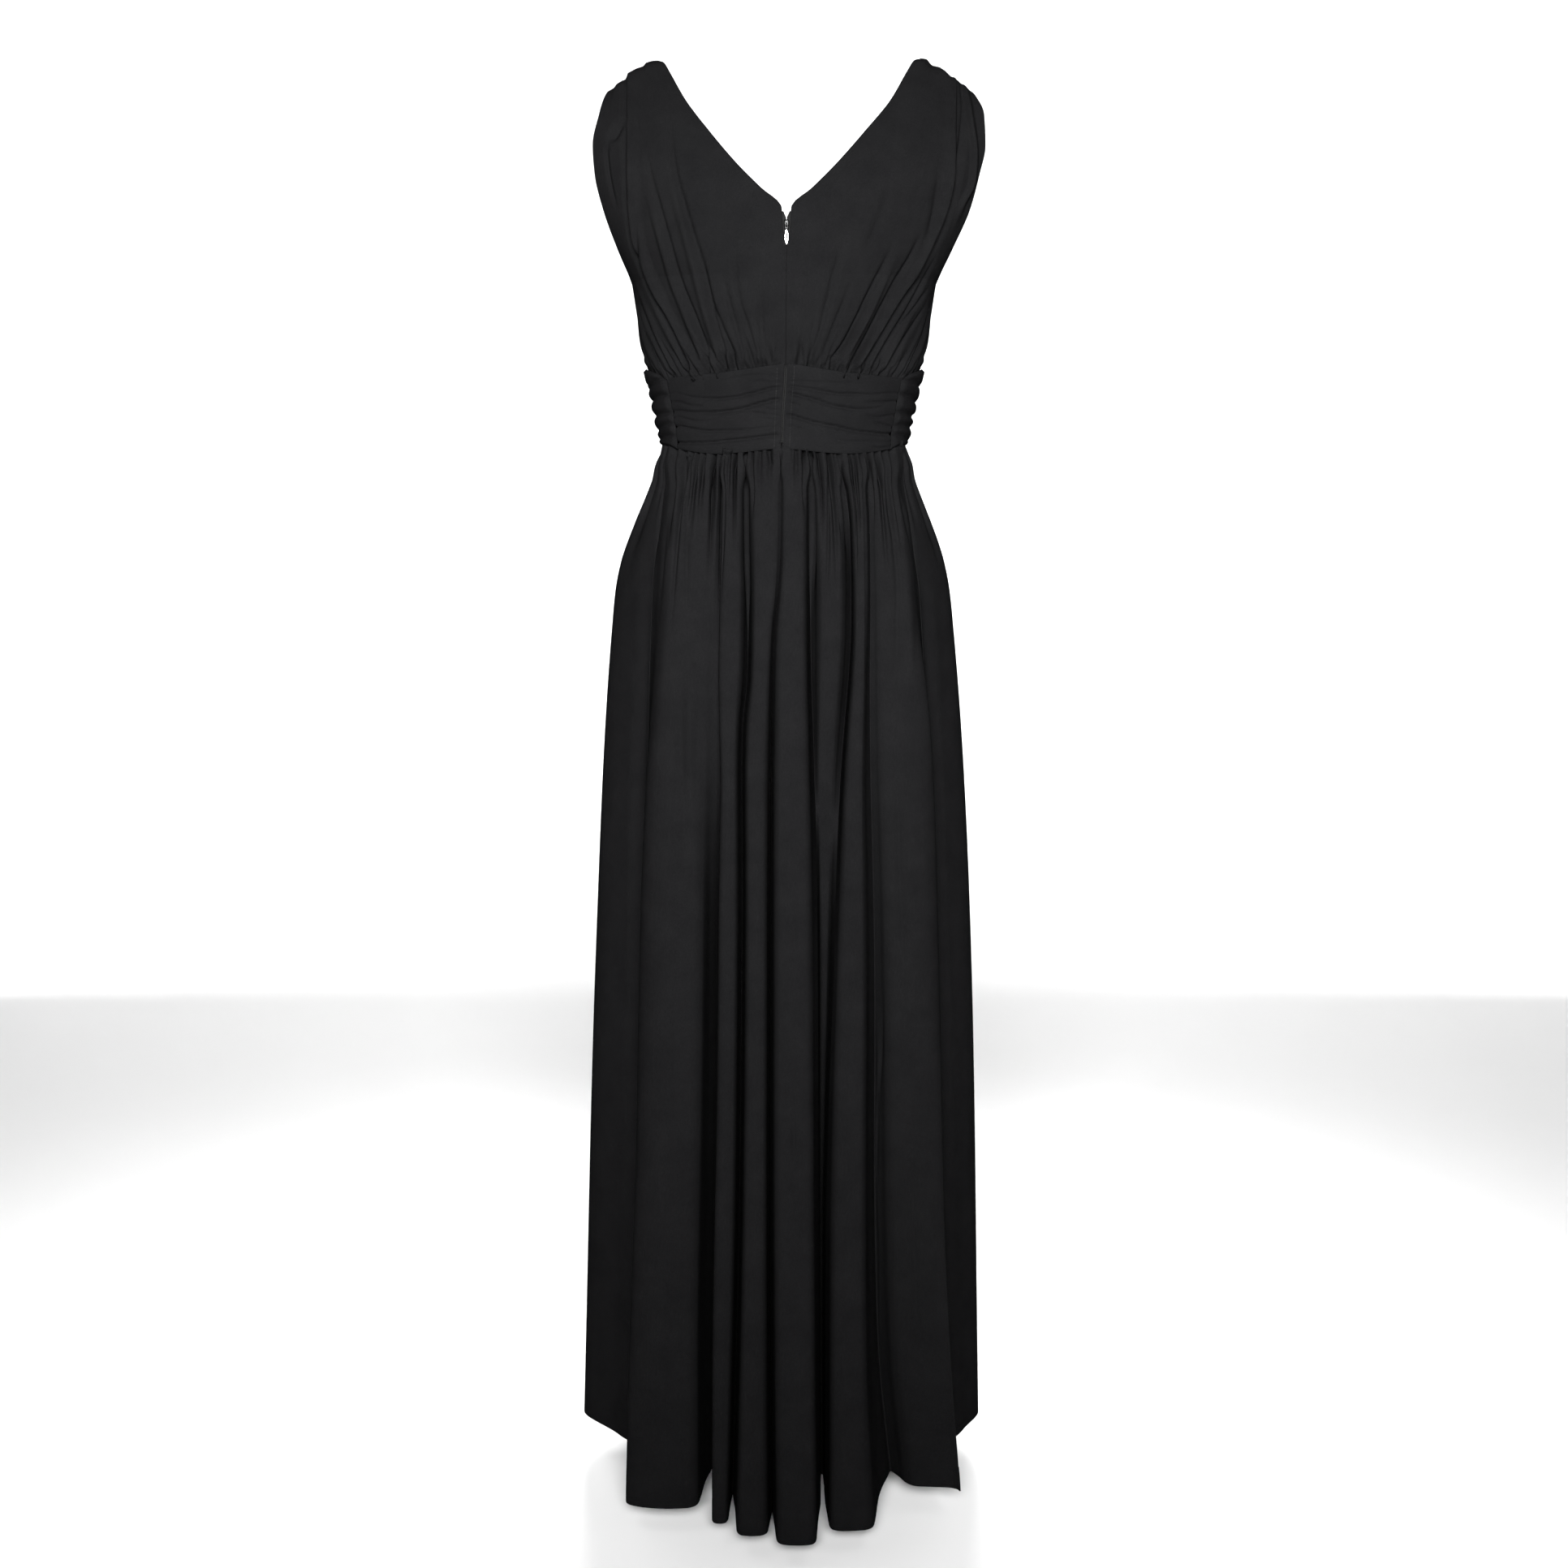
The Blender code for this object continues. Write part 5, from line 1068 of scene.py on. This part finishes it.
def skirt_piece(name, node, first, last, columns, under=(0, 0)):
    """One skirt panel with its folds, gathers and turned hem."""
    grid = skirt_grid(first + PANEL_INSET, last - PANEL_INSET, columns, SKIRT_ROWS)
    out = outward(grid)
    out[:, [0, -1]] = (0, 1, 0)
    grid = lip(grid, out, under=under)
    grid = tuck(grid, outward(grid), True)
    out = outward(grid)
    cloth = Cloth()
    sheet = cloth.add_grid(grid, out)
    cloth.turn_under(sheet, grid, out, "last_row", 2)
    made = cloth.finish(name, JERSEY)
    return dress_piece(made, node)


def band_piece(name, node, grid, at_zip):
    """A waistband piece with its ruching and folded edges."""
    out = outward(grid)
    cloth = Cloth()
    grid = lip(grid, out, (not at_zip, True), 0.8)
    out = outward(grid)
    sheet = cloth.add_grid(grid, out)
    cloth.turn_under(sheet, grid, out, "first_row", 3, radius=0.55)
    cloth.turn_under(sheet, grid, out, "last_row", 3, radius=0.55)
    if at_zip:
        cloth.turn_under(sheet, grid, out, "first_column", 4, radius=0.55)
    made = cloth.finish(name, JERSEY, 0.9)
    return dress_piece(made, node)


BODICE_SHARES = np.unique(np.concatenate([
    np.linspace(0, 1, 110), [0.006, 0.013, UNDERARM, 0.575, 0.59, 0.605, BACK_NOTCH, FRONT_NOTCH]]))


def bodice_back_piece(name, node, side):
    """One half of the bodice back."""
    grid = bodice_grid(False, side, BODICE_COLUMNS, BODICE_SHARES)
    grid[:, 0, 0] += BODICE_ZIP_EDGE * side
    out = outward(grid)
    grid = tuck(grid, out, True)
    out = outward(grid)
    cloth = Cloth()
    sheet = cloth.add_grid(grid, out)
    arm = slice(TUCK_ROWS + int(np.searchsorted(BODICE_SHARES, UNDERARM)), len(grid))
    cloth.turn_under(sheet, grid, out, "first_column", 5, radius=0.7)
    cloth.turn_under(sheet, grid, out, "last_column", 6, arm, radius=0.8)
    made = cloth.finish(name, JERSEY)
    return dress_piece(made, node)


def bodice_front_piece(name, node):
    """The bodice front, cut in one with its V neck."""
    cloth = Cloth()
    halves = []
    for side in (1, -1):
        grid = bodice_grid(True, side, BODICE_COLUMNS, BODICE_SHARES)
        out = outward(grid)
        grid = tuck(tuck(grid, out, True), out, False)
        grid[grid[:, 0, 2] < FRONT_INNER[2, 4] - 0.01, 0, 0] = 0
        out = outward(grid)
        shoulder = TUCK_ROWS + len(BODICE_SHARES)
        sheet = cloth.add_grid(grid, out)
        notch = slice(TUCK_ROWS + int(np.searchsorted(BODICE_SHARES, FRONT_NOTCH)), shoulder)
        arm = slice(TUCK_ROWS + int(np.searchsorted(BODICE_SHARES, UNDERARM)), shoulder)
        cloth.turn_under(sheet, grid, out, "first_column", 5, notch, radius=0.7)
        cloth.turn_under(sheet, grid, out, "last_column", 6, arm, radius=0.8)
        halves.append(sheet[0][:notch.start + 1, 0])
    for faces in cloth.faces:
        for left, right in zip(*halves):
            faces[faces == right] = left
    made = cloth.finish(name, JERSEY)
    return dress_piece(made, node)


LEFT_SEAM = SKIRT_NAMES.index("left_side_seam")
RIGHT_SEAM = SKIRT_NAMES.index("right_side_seam")
skirt_piece("skirt_back_left_cloth", "skirt_back_left", 0, LEFT_SEAM, 300,
            under=(4, 4))
skirt_piece("skirt_back_right_cloth", "skirt_back_right", RIGHT_SEAM, LINE_COUNT, 320,
            under=(4, 0))
skirt_piece("skirt_front_cloth", "skirt_front", LEFT_SEAM, RIGHT_SEAM, 240)
band_piece("waistband_back_left_cloth", "waistband_back_left", back_band_grid(1, 130, 64),
           True)
band_piece("waistband_back_right_cloth", "waistband_back_right", back_band_grid(-1, 130, 64),
           True)
band_piece("waistband_front_cloth", "waistband_front", front_band_grid(260, 60),
           False)
bodice_back_piece("back_bodice_left_cloth", "back_bodice_left", 1)
bodice_back_piece("back_bodice_right_cloth", "back_bodice_right", -1)
bodice_front_piece("front_bodice_cloth", "front_bodice")

# Zip
TAPE_HALF = 7.0
TAPE_BEHIND = 1.5
COIL_RADIUS = 0.72
COIL_PITCH = 1.25
SLIDER_X = -2.4
SLIDER_TOP = -164.0
SLIDER_LENGTH = 10.0
SLIDER_HALF_WIDTH = 2.6
SLIDER_THICK = 3.2
PULL_HINGE_DROP = 5.5
PULL_TIP = -19.0
LEAF_TOP = -3.6


def centre_back(z):
    """The centre back seam's place across, depth and half opening at these heights."""
    z = np.asarray(z, float)
    rows = BACK_INNER
    in_skirt = z < BAND_SEAMS[0, 2]
    section, _ = skirt_section(np.zeros_like(z)[None], np.minimum(z, WAIST_Z)[None])
    section = section[0]
    x = np.where(in_skirt, section[:, 0], zip_seam_x(z))
    _, band_y = ring_point(0.0 * z, z, BAND_PROUD)
    above = smooth(rows[:, 4], rows[:, 3], z)
    y = np.where(z > BAND_SEAMS[0, 1], above, np.where(in_skirt, section[:, 1], band_y))
    apart = (smooth(rows[:, 4], rows[:, 1], z) - smooth(rows[:, 4], rows[:, 2], z)) / 2
    return x, y, np.where(z > -184, apart, 0)


def coil_line(z, side):
    """Middle of one row of the coil: apart above the slider and together below it."""
    x, y, apart = centre_back(z)
    open_share = ease((z - SLIDER_TOP - 1) / 7)
    offset = 0.78 + (apart * 0.78 - 0.78) * open_share
    behind = WALL + 1.2 + COIL_RADIUS * 0.6 - 1.1 * ease((z - SLIDER_TOP + 8) / 8)
    return np.stack([x + side * offset, y - behind, z], axis=-1)


def tube_points(path, radius_x, radius_y, sides, across_way=(1, 0, 0)):
    """Rings round a path. The second radius is along the first direction across the path."""
    along = unit(np.gradient(path, axis=0))
    first = unit(np.cross(along, np.broadcast_to(across_way, along.shape)))
    second = np.cross(along, first)
    turn = np.arange(sides) * 2 * math.pi / sides
    return (path[:, None] + first[:, None] * (np.cos(turn) * radius_y)[None, :, None]
            + second[:, None] * (np.sin(turn) * radius_x)[None, :, None])


def ring_faces(rings, sides, start=0, closed=False):
    """Faces between rings of points, with end caps unless the rings close on themselves."""
    index = start + np.arange(rings * sides).reshape(rings, sides)
    after = np.roll(index, -1, axis=1)
    pairs = rings if closed else rings - 1
    faces = []
    for k in range(pairs):
        n = (k + 1) % rings
        faces.extend(np.stack([index[k], index[n], after[n], after[k]], axis=-1).tolist())
    if not closed:
        faces.append(index[0].tolist())
        faces.append(index[-1][::-1].tolist())
    return faces


def zip_tapes():
    """The two halves of the woven tape, behind the centre back seam."""
    z = np.concatenate([np.linspace(ZIP_TOP, -190, 30), np.linspace(-192, ZIP_END, 150)])
    y = centre_back(z)[1]
    cloth = Cloth()
    for side in (1, -1):
        middle = coil_line(z, side)
        reach = np.array([-0.35, 0.0, 0.8, 2.5, 4.5, TAPE_HALF - 0.9])
        grid = np.zeros((len(z), len(reach), 3))
        grid[..., 0] = middle[:, None, 0] + side * reach
        grid[..., 2] = z[:, None]
        behind = WALL + TAPE_BEHIND - 0.8 * ease((z + 175) / 15)
        grid[..., 1] = (y - behind)[:, None]
        out = np.zeros_like(grid)
        out[..., 1] = 1
        cloth.add_grid(grid, out)
    made = cloth.finish("zip_tape_woven", TAPE, 0.45)
    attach(made, "dress")
    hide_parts("zip_tape")
    return made


def zip_coils():
    """The two rows of the nylon coil, each wound round its line."""
    points, faces, start = [], [], 0
    sides, per_turn = 5, 8
    for side in (1, -1):
        turns = (ZIP_TOP - 1 - ZIP_END) / COIL_PITCH
        steps = int(turns * per_turn)
        z = np.linspace(ZIP_TOP - 0.6, ZIP_END + 1, steps)
        angle = np.arange(steps) * 2 * math.pi / per_turn
        path = coil_line(z, side)
        path[:, 0] -= side * np.cos(angle) * COIL_RADIUS
        path[:, 1] += np.sin(angle) * COIL_RADIUS
        points.append(tube_points(path, 0.26, 0.26, sides, (0, 0, 1)).reshape(-1, 3))
        faces.extend(ring_faces(steps, sides, start))
        start += steps * sides
    made = mesh_object("zip_coil", np.concatenate(points), faces, NYLON)
    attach(made, "dress")
    return made


def slider_face():
    """Depth of the slider's outer face."""
    return float(centre_back([SLIDER_TOP])[1][0]) + 1.9


def zip_slider():
    """The slider: a rounded shield with the bridge that carries the pull."""
    face = slider_face()
    share = np.linspace(0, 1, 22)
    z = SLIDER_TOP - SLIDER_LENGTH * share
    round_end = np.sqrt(np.clip(1 - (2 * np.abs(share - 0.5)) ** 8, 0.02, 1))
    wide = SLIDER_HALF_WIDTH * (1 - 0.26 * ease((share - 0.35) / 0.65)) * round_end
    thick = SLIDER_THICK / 2 * round_end
    turn = np.arange(20) * 2 * math.pi / 20
    shape = [np.sign(f(turn)) * np.abs(f(turn)) ** 0.55 for f in (np.cos, np.sin)]
    body = np.zeros((22, 20, 3))
    body[..., 0] = SLIDER_X + wide[:, None] * shape[0]
    body[..., 1] = face - SLIDER_THICK / 2 + thick[:, None] * shape[1]
    body[..., 2] = z[:, None]
    hinge = SLIDER_TOP - PULL_HINGE_DROP
    bend = np.linspace(-1, 1, 17)
    arch = np.stack([np.full(17, SLIDER_X), face - 0.5 + 2.6 * (1 - np.abs(bend) ** 3.0),
                     hinge - 2.3 * bend], axis=-1)
    bridge = tube_points(arch, 0.62, 0.38, 10)
    points = np.concatenate([body.reshape(-1, 3), bridge.reshape(-1, 3)])
    faces = ring_faces(22, 20) + ring_faces(17, 10, 22 * 20)
    made = mesh_object("zip_slider_metal", points, faces, LACQUER)
    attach(made, "dress")
    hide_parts("zip_slider")
    return made


def loop_points(outer, inner, y, half_thick, sides=14):
    """A closed rounded bar between an outer and an inner outline of the same length."""
    middle, half = (outer + inner) / 2, (outer - inner) / 2
    turn = np.arange(sides) * 2 * math.pi / sides
    points = np.zeros((len(outer), sides, 3))
    points[..., 0] = middle[:, None, 0] + half[:, None, 0] * np.cos(turn)
    points[..., 2] = middle[:, None, 1] + half[:, None, 1] * np.cos(turn)
    points[..., 1] = y + half_thick * np.sin(turn)
    return points.reshape(-1, 3)


def zip_pull():
    """The leaf shaped pull with its slot, and the eye that hangs from the bridge."""
    y = slider_face() + 0.8
    hinge = SLIDER_TOP - PULL_HINGE_DROP
    count = 64
    turn = np.arange(count) * 2 * math.pi / count
    across, up = np.sin(turn), np.cos(turn)
    length = (LEAF_TOP - PULL_TIP) / 2
    middle = (LEAF_TOP + PULL_TIP) / 2
    pointed = np.sign(across) * np.abs(across) ** 1.25 * (1 - 0.10 * up)
    leaf_outer = np.stack([SLIDER_X + 2.25 * pointed, hinge + middle + length * up], axis=-1)
    leaf_inner = np.stack([SLIDER_X - 0.12 + 0.42 * across,
                           hinge + middle + 0.6 + 4.9 * up], axis=-1)
    eye_outer = np.stack([SLIDER_X + 1.75 * across, hinge - 2.05 + 2.5 * up], axis=-1)
    eye_inner = np.stack([SLIDER_X + 0.95 * across, hinge - 2.05 + 1.65 * up], axis=-1)
    leaf = loop_points(leaf_outer, leaf_inner, y, 0.55)
    eye = loop_points(eye_outer, eye_inner, y, 0.42)
    leaf_faces = ring_faces(count, 14, 0, True)
    eye_faces = ring_faces(count, 14, len(leaf), True)
    made = mesh_object("zip_pull_leaf", np.concatenate([leaf, eye]), leaf_faces + eye_faces, METAL)
    made.data.materials.append(LACQUER)
    for face in made.data.polygons[len(leaf_faces):]:
        face.material_index = 1
    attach(made, "zip_pull")
    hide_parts("zip_pull")
    return made


def stitch_rows():
    """The topstitching that holds the band's folded edges beside the zip."""
    points, faces = [], []
    for side in (1, -1):
        grid = back_band_grid(side, 130, 64)
        column = int(np.argmin(np.abs(np.abs(grid[32, :, 0] - zip_seam_x(grid[32, 0, 2])) - 7.4)))
        line = grid[:, column]
        run = np.concatenate([[0], np.cumsum(np.linalg.norm(np.diff(line, axis=0), axis=1))])
        for start in np.arange(1.5, run[-1] - 3, 2.9):
            share = np.linspace(0, 1, 7)
            path = np.stack([np.interp(start + 2.1 * share, run, line[:, k]) for k in range(3)],
                            axis=-1)
            path[:, 1] += 0.28 * np.sin(math.pi * share) - 0.08
            faces.extend(ring_faces(7, 6, 6 * 7 * len(points)))
            points.append(tube_points(path, 0.2, 0.2, 6).reshape(-1, 3))
    made = mesh_object("band_topstitching", np.concatenate(points), faces, NYLON)
    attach(made, "dress")
    return made


zip_tapes()
zip_coils()
zip_slider()
zip_pull()
stitch_rows()

# Studio
camera_data = bpy.data.cameras.new("camera")
camera_data.lens = 50
camera_data.sensor_width = 36
camera = bpy.data.objects.new("camera", camera_data)
camera.location = (0, 2.23, -0.4884)
camera.rotation_euler = (math.radians(90 - 5.87), 0, math.radians(180))
bpy.context.scene.collection.objects.link(camera)
bpy.context.scene.camera = camera


def plane(name, size, place, turn, colour):
    """A flat studio surface."""
    half_x, half_y = size[0] / 2, size[1] / 2
    corners = [(-half_x, -half_y, 0), (half_x, -half_y, 0),
               (half_x, half_y, 0), (-half_x, half_y, 0)]
    made = mesh_object(name, np.array(corners) / MM, [(0, 1, 2, 3)], studio_material(name, colour))
    made.location = place
    made.rotation_euler = turn
    return made


def area_light(name, size, power, place, target, spread=180):
    """A soft square light that looks at a point and fans out by this many degrees."""
    data = bpy.data.lights.new(name, "AREA")
    data.shape = "RECTANGLE"
    data.size, data.size_y = size
    data.energy = power
    data.spread = math.radians(spread)
    made = bpy.data.objects.new(name, data)
    made.location = place
    way = Vector(target) - Vector(place)
    made.rotation_euler = way.to_track_quat("-Z", "Y").to_euler()
    bpy.context.scene.collection.objects.link(made)
    return made


plane("floor", (14, 14), (0, 0, -1.436), (0, 0, 0), (0.92, 0.92, 0.92))
plane("backdrop", (14, 8), (0, -4.5, 2.4), (math.radians(90), 0, 0), (0.9, 0.9, 0.9))
area_light("key", (1.0, 1.0), 46, (0.0, 2.75, 0.15), (0, 0, -0.38), 54)
area_light("front_fill", (1.2, 1.2), 42, (0.0, -3.0, 0.5), (0, 0, -0.45), 60)
area_light("floor_left", (1.6, 2.4), 19, (2.3, 0.8, 2.2), (2.3, 0.8, -1.4), 70)
area_light("floor_right", (1.6, 2.4), 19, (-2.3, 0.8, 2.2), (-2.3, 0.8, -1.4), 70)
area_light("backdrop_left", (2.4, 3.0), 240, (3.2, -2.4, 0.4), (3.2, -4.5, 0.4))
area_light("backdrop_right", (2.4, 3.0), 240, (-3.2, -2.4, 0.4), (-3.2, -4.5, 0.4))
SKY_LIGHT = 0.02
SKY_SEEN = 0.80
world = bpy.data.worlds.new("studio")
bpy.context.scene.world = world
world.use_nodes = True
sky = world.node_tree.nodes["Background"]
sky.inputs["Color"].default_value = (1, 1, 1, 1)
seen = add_node(world.node_tree, "ShaderNodeLightPath")
level = add_node(world.node_tree, "ShaderNodeMapRange", [("Value", seen.outputs["Is Camera Ray"])])
level.inputs["To Min"].default_value = SKY_LIGHT
level.inputs["To Max"].default_value = SKY_SEEN
world.node_tree.links.new(level.outputs["Result"], sky.inputs["Strength"])
bpy.context.scene.view_settings.view_transform = "Standard"
